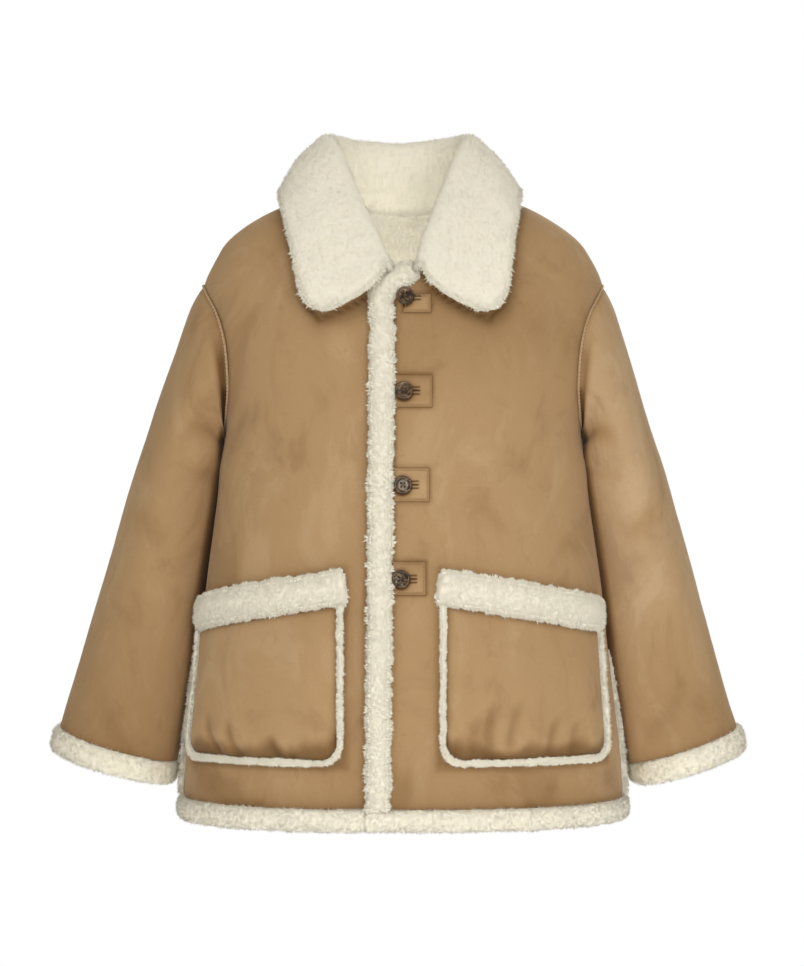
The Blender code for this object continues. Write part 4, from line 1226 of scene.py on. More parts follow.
# ---- body panels ----
@dataclass
class BodyPanels:
    """The two fronts and the back."""

    finishes: Finishes
    step: float = CLOTH_STEP
    neck_rows: tuple[float, ...] = (-0.004, -0.0015, 0.0, 0.0008, 0.002, 0.005)
    shoulder_rows: int = 28

    def heights(self, drop: float) -> Array:
        """Row heights, closer together at the hem, the neckline and the armhole's ends."""
        rows = spaced(TOP_Z - HEM_Z, self.step, (0.0, 0.0015, 0.0045)) * (TOP_Z - HEM_Z) + HEM_Z
        close = [-drop + step for step in self.neck_rows]
        for end in (SHOULDER_TIP_Z, UNDERARM_Z):
            close += [end - 0.0015, end, end + 0.0015]
        close.append(SLIT_TOP_Z)
        far = np.min(np.abs(rows[:, None] - np.array(close)[None]), axis=1) > 0.0012
        rows = np.unique(np.concatenate((rows[far], close)))
        return rows[(rows >= HEM_Z - 1e-9) & (rows <= TOP_Z + 1e-9)]

    def front_grid(self, side: Side) -> tuple[Array, Array]:
        """Distance round and height at every point of a front."""
        z = self.heights(FRONT_NECK_DROP)
        sign = side.value
        neck = BODY.arc_at_x(z, neck_half_width(z, True), True)
        straight = front_edge(z) if side is Side.LEFT else np.full(len(z), RIGHT_EDGE)
        inner = np.where(z > -FRONT_NECK_DROP, sign * neck, turned_in(straight, z))
        outer = sign * side_limit(z, True)
        shares = spaced(0.30, self.step)
        s = inner[:, None] + (outer - inner)[:, None] * shares
        return s, np.broadcast_to(z[:, None], s.shape)

    def front(self, side: Side) -> None:
        """One front: the creased surface, sunk where it lies under the other."""
        s, z = self.front_grid(side)
        span = np.abs(s[:, -1:] - s[:, :1])
        from_edge = np.abs(s - s[:, :1]) if side is Side.LEFT else np.full(s.shape, 1.0)
        roll = seam_roll(np.minimum(from_edge, span - np.abs(s - s[:, :1])))
        roll = roll + seam_roll(z - HEM_Z, 0.0008)
        out = body_relief(s, z, True) + roll
        if side is Side.RIGHT:
            t = ease((s - front_edge(z) + OVERLAP_RAMP) / OVERLAP_RAMP)
            out = out * (1 - t) - OVERLAP_SINK * t - 0.0004
        outer = BODY.point(s, z, True, out)
        normals = BODY.normal_at(s, z, True)
        inner = fleecy(outer - normals * WALL, normals, 41)
        # The front's pile value is its painted shade.
        surface = wall(outer, inner, False, (0, 1, 1), front_shade(s, z, side))
        piece = place(f"front_{side.word}_suede", surface, self.finishes.shearling,
                      "suede_fleece", f"front_{side.word}")

    def back(self) -> None:
        """The back in one piece, its rows bending up from the neckline to the shoulders."""
        shares = spaced(0.60, self.step) * 2 - 1
        low = self.heights(BACK_NECK_DROP)
        low = low[low <= SHOULDER_TIP_Z]
        bent = self.shoulder_rows
        rows = np.concatenate((low, np.full(bent, SHOULDER_TIP_Z)))
        rise = np.concatenate((np.zeros(len(low)), np.linspace(1 / bent, 1, bent)))
        heights = np.linspace(-BACK_NECK_DROP, TOP_Z, 60)
        neck = BODY.arc_at_x(heights, neck_half_width(heights, False), False) \
            / BODY.length(heights, False)
        top = np.interp(np.abs(shares), neck, heights)
        z = rows[:, None] + (top[None] - rows[:, None]) * rise[:, None]
        limit = side_limit(z, False)
        s = shares[None] * limit
        roll = seam_roll(limit - np.abs(s)) + seam_roll(z - HEM_Z, 0.0008)
        outer = BODY.point(s, z, False, body_relief(s, z, False) + roll)
        normals = BODY.normal_at(s, z, False)
        inner = fleecy(outer - normals * WALL, normals, 43)
        # Painted shade at the hem and along the sides.
        shade = shaded((z - HEM_Z, 0.020, 0.17), (z - HEM_Z, 0.0035, 0.22),
                       (limit - np.abs(s), 0.006, 0.15))
        surface = wall(outer, inner, False, (0, 1, 1), shade)
        piece = place("back_suede", surface, self.finishes.shearling, "suede_fleece", "back")
        near_neck = (z > -0.235) & (np.abs(s) < 0.085)
        locks = fibres(inner[near_neck], -normals[near_neck], 13000, 0.0036, 0.0011, 0.9, 5,
                       droop=(0.0, 0.0, -0.5), finish=0, rough=0.30)
        place("back_neck_locks", locks, [self.finishes.locks], "suede_fleece", None)

    def build(self) -> None:
        """Make all three panels."""
        for side in Side:
            self.front(side)
        self.back()


# ---- sleeves ----
@dataclass
class Sleeves:
    """Two set-in sleeves with soft folds at the underarm and above the cuff."""

    finishes: Finishes
    columns: int = 104
    fullness = {"left": 0.0044, "right": 0.0060}
    tucks = {"left": 0.0045, "right": 0.0085}
    corners = {"left": 0.0100, "right": 0.0045}
    # Painted light on the nap, how light it is at the top and low down: a painted highlight high on
    # the wearer's left sleeve and painted shade low down.
    brushed = {"left": (1.13, 0.94), "right": (0.97, 0.86)}
    folds: tuple[Crease, ...] = creases(
        # start and end, each as the way round from the top by the front and the way down from
        # the armhole,  width, height
        (0.200, 0.020, 0.090, 0.075, 0.011, 0.0034),
        (0.205, 0.048, 0.105, 0.112, 0.010, -0.0034),
        (0.200, 0.085, 0.120, 0.150, 0.010, 0.0028),
        (0.190, 0.125, 0.110, 0.150, 0.009, -0.0022),
        (0.230, 0.020, 0.330, 0.085, 0.012, 0.0034),
        (0.225, 0.060, 0.320, 0.125, 0.011, -0.0030),
        (0.060, 0.180, 0.140, 0.205, 0.012, -0.0018),
        (0.030, 0.260, 0.110, 0.285, 0.014, 0.0020),
        (0.330, 0.220, 0.400, 0.270, 0.014, -0.0022),
        (0.080, 0.370, 0.150, 0.440, 0.011, -0.0020),
        (0.040, 0.420, 0.120, 0.480, 0.010, 0.0018),
        (0.260, 0.360, 0.350, 0.420, 0.013, 0.0022),
    )

    def build(self) -> None:
        """Make both sleeves."""
        for side in Side:
            self.sleeve(side)

    def beside_body(self, outer: Array) -> Array:
        """The painted shade on the sleeve's inner side, by how near it lies to the body, with a
        deeper painted shadow in a wedge near the underarm.
        """
        wide, deep = BODY.half_sizes(outer[..., 2], True)
        gap = outer[..., 0] - wide * quarter(np.abs(outer[..., 1]) / deep)
        below = -outer[..., 2]
        close = 1 - ease((gap - 0.004) / 0.011)
        wedge = (1 - ease((gap - 0.007) / 0.010)) * ease((below - 0.225) / 0.012) \
            * ease((0.318 - below) / 0.020)
        return (1 - 0.72 * close * ease((below - 0.250) / 0.025)) * (1 - 0.62 * wedge)

    def sleeve(self, side: Side) -> None:
        """One sleeve: rings moved along their normals by the folds and the cloth's slack."""
        grid, normals = sleeve_surface(side, self.columns, CLOTH_STEP)
        down = travelled(grid.mean(axis=1))[:, None] * np.ones(self.columns)
        girth = np.linalg.norm(np.diff(grid, axis=1, append=grid[:, :1]), axis=2).sum(axis=1)
        around = np.arange(self.columns) / self.columns * girth[:, None]
        shift = 0.0 if side is Side.LEFT else 0.012
        folded = creased(around + shift, down * (1.0 if side is Side.LEFT else 0.94), self.folds)
        seed = 61 if side is Side.LEFT else 71
        lift = folded + slack(grid, seed)
        fade = ease(down / 0.03) * ease((down[-1] - down) / 0.03)
        inward = (down < 0.06) & (normals[..., 0] < -0.2)
        lift = np.where(inward, np.minimum(lift, 0.0), lift)
        body_side = np.clip(-normals[..., 0] * 2.0, 0.0, 1.0)
        lift = lift * fade * (1 - 0.75 * body_side) + seam_roll(down, 0.0010, 0.004)
        share = np.arange(self.columns) / self.columns
        full = bell(share, 0.45, 0.10) * ease((down - 0.001) / 0.018)
        lift = lift + self.fullness[side.word] * full * (1 - ease((down - 0.10) / 0.16))
        tuck = ease((share - 0.17) / 0.09) * ease((0.50 - share) / 0.05) \
            * bell(down, 0.0075, 0.0042)
        beside = ease((share - 0.20) / 0.09) * ease((0.50 - share) / 0.05) \
            * bell(down, 0.020, 0.008)
        lift = lift - self.tucks[side.word] * tuck + 0.5 * self.tucks[side.word] * beside
        corner = bell(share, 0.41, 0.065) * ease((down - 0.05) / 0.05)
        lift = lift + self.corners[side.word] * corner
        outer = grid + normals * lift[..., None]
        inner = fleecy(outer - normals * WALL, normals, seed + 3)
        up = down[-1] - down
        # Painted light: the multipliers above and a painted highlight beside the body on the
        # wearer's left sleeve, mostly towards the front, times the painted shade beside the body.
        painted_light_top, painted_light_low = self.brushed[side.word]
        brushed = painted_light_top + (painted_light_low - painted_light_top) * ease((down - 0.24) / 0.18) \
            + (0.05 if side is Side.LEFT else 0.0) * bell(share, 0.36, 0.08)
        ahead = 0.25 + 0.75 * bell(share, 0.26, 0.17)
        brushed = (1 + (brushed - 1) * ahead) * self.beside_body(outer)
        # Painted shade at the armhole seam and above the cuff, in the underarm tuck and in the
        # folds' troughs.
        shade = shaded((down, 0.0025, 0.30), (up, 0.0035, 0.25), (up, 0.060, 0.12)) \
            * brushed * (1 - np.minimum(105 * self.tucks[side.word], 0.75) * tuck) \
            * (1 + 60 * np.minimum(folded * ease(down / 0.02), 0.0))
        surface = wall(on_side(outer, side), on_side(inner, side), True, (0, 1, 0), shade)
        piece = place(f"sleeve_{side.word}_suede", surface, self.finishes.shearling,
                      "suede_fleece", f"sleeve_{side.word}")


@dataclass
class Pipings:
    """The narrow suede piping in each armhole seam, with its row of stitches."""

    finishes: Finishes
    radius: float = 0.0012
    points: int = 240

    def build(self) -> None:
        """Make both pipings: a thin tube round the armhole's oval."""
        for side in Side:
            ring, normals = armhole_ring(self.points, 0.00015)
            ring = ring + normals * 0.0002 * flat_share(self.points)
            along = unit(step_round(ring, 0))
            rings = circles(ring, normals, unit(np.cross(along, normals)), self.radius, 8)
            surface = tube(on_side(rings, side), True)
            place(f"armhole_piping_{side.word}", surface, [self.finishes.piping],
                  "suede_fleece", None)
            top = ring + normals * (self.radius + 0.0001)
            share = np.array((-0.2, 0.1, 0.9, 1.2))[:, None]
            thick = np.array((0.2, 0.42, 0.42, 0.2)) * 0.001
            lines = [a + (b - a) * share for a, b in zip(top[:-1:2], top[1::2])]
            stitches = [round_thread(on_side(line, side), thick, 5) for line in lines]
            place(f"armhole_stitches_{side.word}", reduce(Surface.join, stitches),
                  [self.finishes.pale_thread], "suede_fleece", None)


# ---- wool pieces ----
def woolly(grid: Array, normals: Array, seed: int, amount: float) -> tuple[Array, Array]:
    """Move a surface out and in by locks of wool.

    The move is the locks' rounded lumps, a wider swell and a fine fuzz, added together.

    Args:
        grid: points of the surface.
        normals: its outward normals.
        seed: picks the pattern.
        amount: height of the locks.

    Returns:
        The moved points, and for each how far out it lies, from 0 to 1.
    """
    lumps = curls(grid, LOCK_SPACING, seed)
    swell = noise(grid, 0.020, seed + 5)
    fuzz = noise(grid, 0.0024, seed + 9)
    move = amount * (lumps - 0.45) + 0.0008 * swell + 0.00035 * fuzz
    # Low values paint shade in the hollows between the lumps.
    pile = np.clip(0.30 + 0.6 * lumps + 0.15 * fuzz, 0.0, 1.0)
    return grid + normals * move[..., None], pile


@dataclass
class WoolStrip:
    """A raised strip of wool that lies on the body along a path of distances and heights."""

    name: str
    node: str
    path: Array
    width: float
    height: float
    front: bool
    seed: int
    start_round: float = 0.35
    end_round: float = 0.35
    locks_per_mm2: float = 0.62
    step: float = PILE_STEP
    taper: Array | None = None
    turned: float = 0.0
    forward: float = 0.0
    narrowed: float = 0.0005
    ragged: float = 0.8
    lock: float = 0.0022

    def build(self, finishes: Finishes) -> None:
        """Make the strip: a squarish arch carried along the path, rounded at both ends."""
        rows = smooth_path(self.path, self.step)
        along = unit(np.gradient(rows[:, :2], axis=0))
        across = np.stack((-along[:, 1], along[:, 0]), axis=1)
        at = travelled(rows[:, :2])
        size = np.minimum(quarter(1 - at / (self.start_round * self.width), 0.02),
                          quarter(1 - (at[-1] - at) / (self.end_round * self.width), 0.02))
        if self.taper is not None:
            size = size * np.interp(at / at[-1], self.taper[:, 0], self.taper[:, 1])
        count = max(int(round(self.width * 1.35 / self.step)), 8)
        t = np.cos(np.linspace(math.pi, 0.0, count + 1))
        t = np.sign(t) * np.abs(t) ** 0.85
        arch = np.maximum(1 - np.abs(t) ** 2.6, 0.0) ** (1 / 2.2)
        keep = 0.6 + 0.4 * size
        seat = np.stack((at, at * 0, at * 0), axis=1)
        bites = [self.narrowed + 0.0008 * self.ragged * noise(seat, 0.0045, self.seed + 31 + k)
                 for k in (0, 1)]
        half = self.width / 2 * keep[:, None] \
            - np.where(t < 0, bites[0][:, None], bites[1][:, None])
        s = rows[:, 0][:, None] + across[:, 0][:, None] * t * half
        z = rows[:, 1][:, None] + across[:, 1][:, None] * t * half
        out = LIFT + arch[None] * self.height * size[:, None]
        top = on_body(s, z, self.front, out)
        normals = grid_normals(top, False)
        outward_way = BODY.normal_at(s, z, self.front)
        flip = np.sum(normals * outward_way, axis=-1) < 0
        normals[flip] *= -1
        normals = unit(normals + 0.35 * outward_way)
        moved, pile = woolly(top, normals, self.seed, 0.0012)
        under = (0, count // 2, -1)
        base = on_body(s[:, under], z[:, under], self.front, LIFT - 0.0002)
        surface = mound(moved, base, pile)
        locks = int(self.width * 1.3 * at[-1] * 1e6 * self.locks_per_mm2)
        facing = unit(normals - (0.0, self.forward, 0.0))
        surface = surface.join(fibres(moved, normals, locks, 0.0026, 0.0010, 1.0, self.seed + 1,
                                      facing, rough=0.20))
        cross = unit(moved[:, -1] - moved[:, 0])
        third = count // 4
        for column, sign in ((1, -1.0), (third, -1.0), (-2, 1.0), (-1 - third, 1.0)):
            way = unit(cross * sign + 0.2 * outward_way[:, column])
            facing = unit(outward_way[:, column] + (0.0, self.turned - self.forward, 0.0))
            surface = surface.join(fibres(moved[:, column], way, int(at[-1] * 1000 * 1.5),
                                          self.lock, 0.0024, 0.6, self.seed + 7 * column,
                                          facing, ragged=self.ragged))
        place(self.name, surface, finishes.fleece, "fleece", self.node)


POCKET_FOLDS = {
    # Where each starts on the foot and ends, from the inner side, its height, width and depth.
    "right": ((0.022, 0.040, 0.040, 0.0060, 0.0018), (0.050, 0.060, 0.030, 0.0050, -0.0020),
              (0.066, 0.080, 0.040, 0.0055, -0.0028), (0.100, 0.098, 0.034, 0.0060, 0.0020),
              (0.112, 0.132, 0.056, 0.0050, -0.0030), (0.128, 0.146, 0.050, 0.0050, 0.0022),
              (0.140, 0.162, 0.060, 0.0055, -0.0032)),
    "left": ((0.018, 0.028, 0.040, 0.0060, -0.0018), (0.040, 0.048, 0.066, 0.0070, -0.0018),
             (0.058, 0.066, 0.078, 0.0065, -0.0028), (0.070, 0.080, 0.064, 0.0050, 0.0020),
             (0.080, 0.094, 0.080, 0.0060, -0.0024), (0.112, 0.112, 0.044, 0.0060, 0.0018),
             (0.126, 0.136, 0.058, 0.0055, -0.0026), (0.160, 0.156, 0.056, 0.0055, -0.0022)),
}


@dataclass
class Pockets:
    """Two patch pockets: a puffed suede panel, a wide wool band on top and a narrow edging."""

    finishes: Finishes
    inner = {"right": 0.0635, "left": 0.0385}
    width: float = 0.2150
    top_inner: float = -0.4310
    top_outer: float = -0.4670
    bottom: float = -0.6500
    corner: float = 0.026
    band_height: float = 0.0400
    band_thickness: float = 0.0110
    edging: float = 0.0105
    edging_height: float = 0.0070
    panel_thickness: float = 0.0045

    def build(self) -> None:
        """Make both pockets."""
        for side in Side:
            self.panel(side)
            self.band(side)
            self.edge(side)

    @classmethod
    def top(cls, distance: Array) -> Array:
        """Height of the slanting top at a distance from the inner side."""
        return cls.top_inner + (cls.top_outer - cls.top_inner) * distance / cls.width

    @property
    def slope(self) -> float:
        """How far the top falls for each metre outwards."""
        return (self.top_inner - self.top_outer) / self.width

    @property
    def drop(self) -> float:
        """The band's height, measured straight down."""
        return self.band_height * math.hypot(1.0, self.slope)

    def path(self, side: Side, distance: Array, z: Array) -> Array:
        """Rows of place and height, from distances outwards from the pocket's inner side."""
        return np.stack((side.value * (self.inner[side.word] + distance), z), axis=1)

    def panel(self, side: Side) -> None:
        """The suede panel: a pillow that swells low down and tucks in with puckers at its foot."""
        inset = self.edging - 0.0012
        radius = self.corner - inset
        distance = inset + spaced(self.width - 2 * inset, 0.003, (0.0, 0.001, 0.003, 0.006)) \
            * (self.width - 2 * inset)
        near = np.minimum(distance - inset, self.width - inset - distance)
        inside = np.clip(near, 0.0, radius)
        low = self.bottom + inset + radius - np.sqrt(radius**2 - (radius - inside) ** 2)
        high = self.top(distance) - self.drop + 0.0012
        rows = spaced(0.16, 0.003, (0.0, 0.001, 0.003, 0.006))
        z = low[None] + (high - low)[None] * rows[:, None]
        d = np.repeat(distance[None], len(rows), axis=0)
        s = side.value * (self.inner[side.word] + d)
        from_side = np.minimum(d - inset, self.width - inset - d)
        from_foot, from_top = z - low[None], high[None] - z
        share = np.clip(from_foot / (high - low)[None], 0, 1)
        pillow = ease(from_side / 0.035) * ease(from_foot / 0.019) * ease(from_top / 0.05)
        swell = 0.0078 * pillow * (0.62 + 0.38 * np.cos((share - 0.20) * math.pi))
        seed = 91 if side is Side.LEFT else 97
        wave = noise(np.stack((d, d * 0, z * 0.3), axis=-1), 0.026, seed)
        foot = bell(from_foot, 0.012, 0.010) * ease(from_side / 0.012)
        ripple = noise(np.stack((d + 0.4 * from_foot, z * 0.5, d * 0), axis=-1), 0.017, seed + 2)
        swell = swell + foot * (0.0040 * ripple - 0.0016) + 0.0012 * wave * pillow
        start, foot_z = self.inner[side.word], self.bottom
        folds = creases(*((side.value * (start + near_x), foot_z + 0.004,
                           side.value * (start + far_x), foot_z + far_z, width, height)
                          for near_x, far_x, far_z, width, height in POCKET_FOLDS[side.word]))
        swell = swell + creased(s, z, folds)
        tuck = seam_roll(np.minimum(np.minimum(from_side, from_foot), from_top), 0.0030, 0.006)
        out = LIFT + self.panel_thickness + swell + tuck
        outer = on_body(s, z, True, out)
        inner = on_body(s, z, True, LIFT * 0.5)
        # Painted shade: darkest along the foot up to a wandering height, under the band, along the
        # sides and the foot, and in the folds' troughs.
        wander = noise(np.stack((d, d * 0, d * 0), axis=-1), 0.020, seed + 4)
        low_shade = 1 - ease((from_foot - 0.005 - 0.003 * wander) / (0.016 + 0.007 * wander))
        shade = shaded((from_top, 0.0032, 0.68), (from_side, 0.0024, 0.45),
                       (from_foot, 0.0020, 0.20), (from_top, 0.020, 0.07))
        shade = shade * (1 - 0.50 * low_shade)
        shade = shade * (1 + 100.0 * np.minimum(creased(s, z, folds), 0.0))
        surface = wall(outer, inner, False, (0, 0, 0), shade)
        piece = place(f"pocket_{side.word}_suede", surface, [self.finishes.suede],
                      "suede_fleece", f"pocket_{side.word}")

    def band(self, side: Side) -> None:
        """The wide band of wool along the slanting top."""
        distance = np.linspace(-0.001, self.width + 0.001, 15)
        path = self.path(side, distance, self.top(distance) - self.drop / 2)
        strip = WoolStrip(f"pocket_band_{side.word}_wool", f"pocket_band_{side.word}", path,
                          self.band_height, self.band_thickness, True,
                          101 + side.value, 0.16, 0.16, forward=0.6, ragged=1.2, lock=0.0024)
        strip.build(self.finishes)

    def edge(self, side: Side) -> None:
        """The narrow edging down one side, round both corners along the foot and up again."""
        half = self.edging / 2
        left, right = half, self.width - half
        foot, radius = self.bottom + half, self.corner - half
        start, end = (self.top(d) - self.drop - self.slope * half + 0.003 for d in (left, right))
        turn = np.linspace(0.0, math.pi / 2, 8)
        path = [(left, z) for z in np.linspace(start, foot + radius, 8)[:-1]]
        path += [(left + radius * (1 - math.cos(a)), foot + radius * (1 - math.sin(a)))
                 for a in turn]
        path += [(d, foot) for d in np.linspace(left + radius, right - radius, 13)[1:-1]]
        path += [(right - radius * (1 - math.sin(a)), foot + radius * (1 - math.cos(a)))
                 for a in turn]
        path += [(right, z) for z in np.linspace(foot + radius, end, 8)[1:]]
        rows = self.path(side, *np.array(path).T)
        # Narrower along the inner side and the foot than along the outer side.
        taper = np.array(((0.0, 0.66), (0.36, 0.66), (0.62, 0.70), (0.72, 1.0), (1.0, 1.0)))
        strip = WoolStrip(f"pocket_edging_{side.word}_wool", f"pocket_edging_{side.word}", rows,
                          self.edging, self.edging_height, True, 111 + side.value, 0.2, 0.2,
                          taper=taper, step=0.0015, forward=0.4, narrowed=0.0018, lock=0.0016)
        strip.build(self.finishes)


@dataclass
class EdgeStrips:
    """The placket strip down the overlapping front, and the edgings of the two side slits."""

    finishes: Finishes
    width: float = 0.0265
    height: float = 0.0070
    overhang: float = 0.0010
    turn_z: float = -0.128
    throat: tuple[float, float] = (0.0150, -0.1015)
    slit_width: float = 0.0080
    slit_height: float = 0.0060

    def build(self) -> None:
        """Make the placket strip and the four slit edgings."""
        z = np.linspace(HEM_Z - 0.003, self.turn_z, 24)
        middle = front_edge(np.maximum(z, HEM_Z)) + self.width / 2 - self.overhang
        path = np.stack((middle, z), axis=1)
        turn = smooth_path(np.array((path[-1], (-0.0140, -0.1175), self.throat)), 0.0, 5)
        path = np.concatenate((path, turn[1:]))
        taper = np.array(((0.0, 1.0), (0.955, 1.0), (0.985, 0.85), (1.0, 0.75)))
        WoolStrip("placket_wool", "placket_trim", path, self.width, self.height, True, 121,
                  0.05, 0.3, taper=taper, ragged=1.5, lock=0.0026).build(self.finishes)
        for side in Side:
            for front in (True, False):
                end = "front" if front else "back"
                z = np.linspace(HEM_Z + 0.001, SLIT_TOP_Z - 0.001, 9)
                s = side.value * (side_limit(z, front) - self.slit_width / 2)
                WoolStrip(f"slit_{end}_{side.word}_wool", f"slit_trim_{end}_{side.word}",
                          np.stack((s, z), axis=1), self.slit_width, self.slit_height, front,
                          131 + side.value + 4 * front, 0.3, 0.5,
                          turned=-1.2 if front else 1.2, narrowed=0.0012, ragged=1.6,
                          lock=0.0028).build(self.finishes)


def oval(thickness: float, height: float) -> tuple[Array, Array]:
    """Distances out and down of a squarish oval's points, shaped to go with rows of rings."""
    angle = turns(int(2 * (height + thickness) / BAND_STEP))
    return tuple((np.sign(way) * np.abs(way) ** (2 / BAND_POWER) * size / 2)[None, :, None]
                 for way, size in ((np.cos(angle), thickness), (np.sin(angle), height)))


def wool_tube(rings: Array, closed: bool, seed: int, locks: int,
              side: Side = Side.LEFT) -> Surface:
    """A roll of wool through rings of points, with its locks."""
    along = step_round(rings, 0) if closed else np.gradient(rings, axis=0)
    normals = unit(np.cross(step_round(rings, 1), along))
    if np.sum(normals * (rings - rings.mean(axis=1, keepdims=True))) < 0:
        normals = -normals
    moved, pile = woolly(rings, normals, seed, 0.0018)
    moved, normals = on_side(moved, side), on_side(normals, side)
    surface = tube(moved, closed)
    surface.pile[:pile.size] = pile.ravel()
    return surface.join(fibres(moved, normals, locks, 0.0032, 0.0010, 1.0, seed + 1))


@dataclass
class Bands:
    """The rolled wool bands under the hem and round the cuffs."""

    finishes: Finishes
    hem_height: float = 0.0232
    hem_thickness: float = 0.0180
    cuff_height: float = 0.0270
    cuff_thickness: float = 0.0150
    cuff_columns: int = 176
    overhang: float = 0.0010

    def build(self) -> None:
        """Make the three hem bands and the two cuffs."""
        edge = float(front_edge(np.array(HEM_Z))) - self.overhang
        front, back = float(side_limit(HEM_Z, True)), float(side_limit(HEM_Z, False))
        self.hem("hem_band_front_left", edge - 0.0016, front, True, 0.01, 141)
        self.hem("hem_band_front_right", edge + 0.0016, -front, True, 0.01, 143)
        self.hem("hem_band_back", -back, back, False, 0.6, 145)
        for side in Side:
            self.cuff(side)

    def hem(self, node: str, start: float, end: float, front: bool, first_round: float,
            seed: int) -> None:
        """A roll under the hem between two distances round the section, rounded at its ends."""
        length = abs(end - start)
        count = int(length / PILE_STEP)
        s = np.linspace(start, end, count)
        out, down = oval(self.hem_thickness, self.hem_height)
        first, last = (share * self.hem_thickness / 2 + 1e-9 for share in (first_round, 0.6))
        size = np.minimum(quarter(1 - np.abs(s - start) / first, 0.04),
                          quarter(1 - np.abs(end - s) / last, 0.04))
        hem_z = np.full(count, HEM_Z)
        normal = unit(BODY.normal_at(s, hem_z, front) * (1.0, 1.0, 0.0))
        middle = BODY.point(s, hem_z, front) - normal * WALL / 2
        middle[:, 2] = HEM_Z - SEAM_GAP - self.hem_height / 2
        rings = middle[:, None] + size[:, None, None] * (out * normal[:, None]
                                                         + down * (0.0, 0.0, -1.0))
        locks = int(length * (25000 if front else 16000))
        surface = wool_tube(rings, False, seed, locks)
        place(f"{node}_wool", surface, self.finishes.fleece, "fleece", node)

    def cuff(self, side: Side) -> None:
        """A roll round the sleeve's end, square to the sleeve's own line."""
        grid, normals = sleeve_surface(side, self.cuff_columns, 0.01)
        last, normal = grid[-1] - normals[-1] * WALL / 2, normals[-1]
        axis = unit(grid[-1].mean(axis=0) - grid[-3].mean(axis=0))
        normal = unit(normal - np.sum(normal * axis, axis=1, keepdims=True) * axis)
        middle = last + axis * (SEAM_GAP + self.cuff_height / 2)
        out, down = oval(self.cuff_thickness, self.cuff_height)
        rings = middle[:, None] + out * normal[:, None] + down * axis
        surface = wool_tube(rings, True, 151 + side.value, 8000, side)
        place(f"cuff_{side.word}_wool", surface, self.finishes.fleece, "fleece",
              f"cuff_{side.word}")


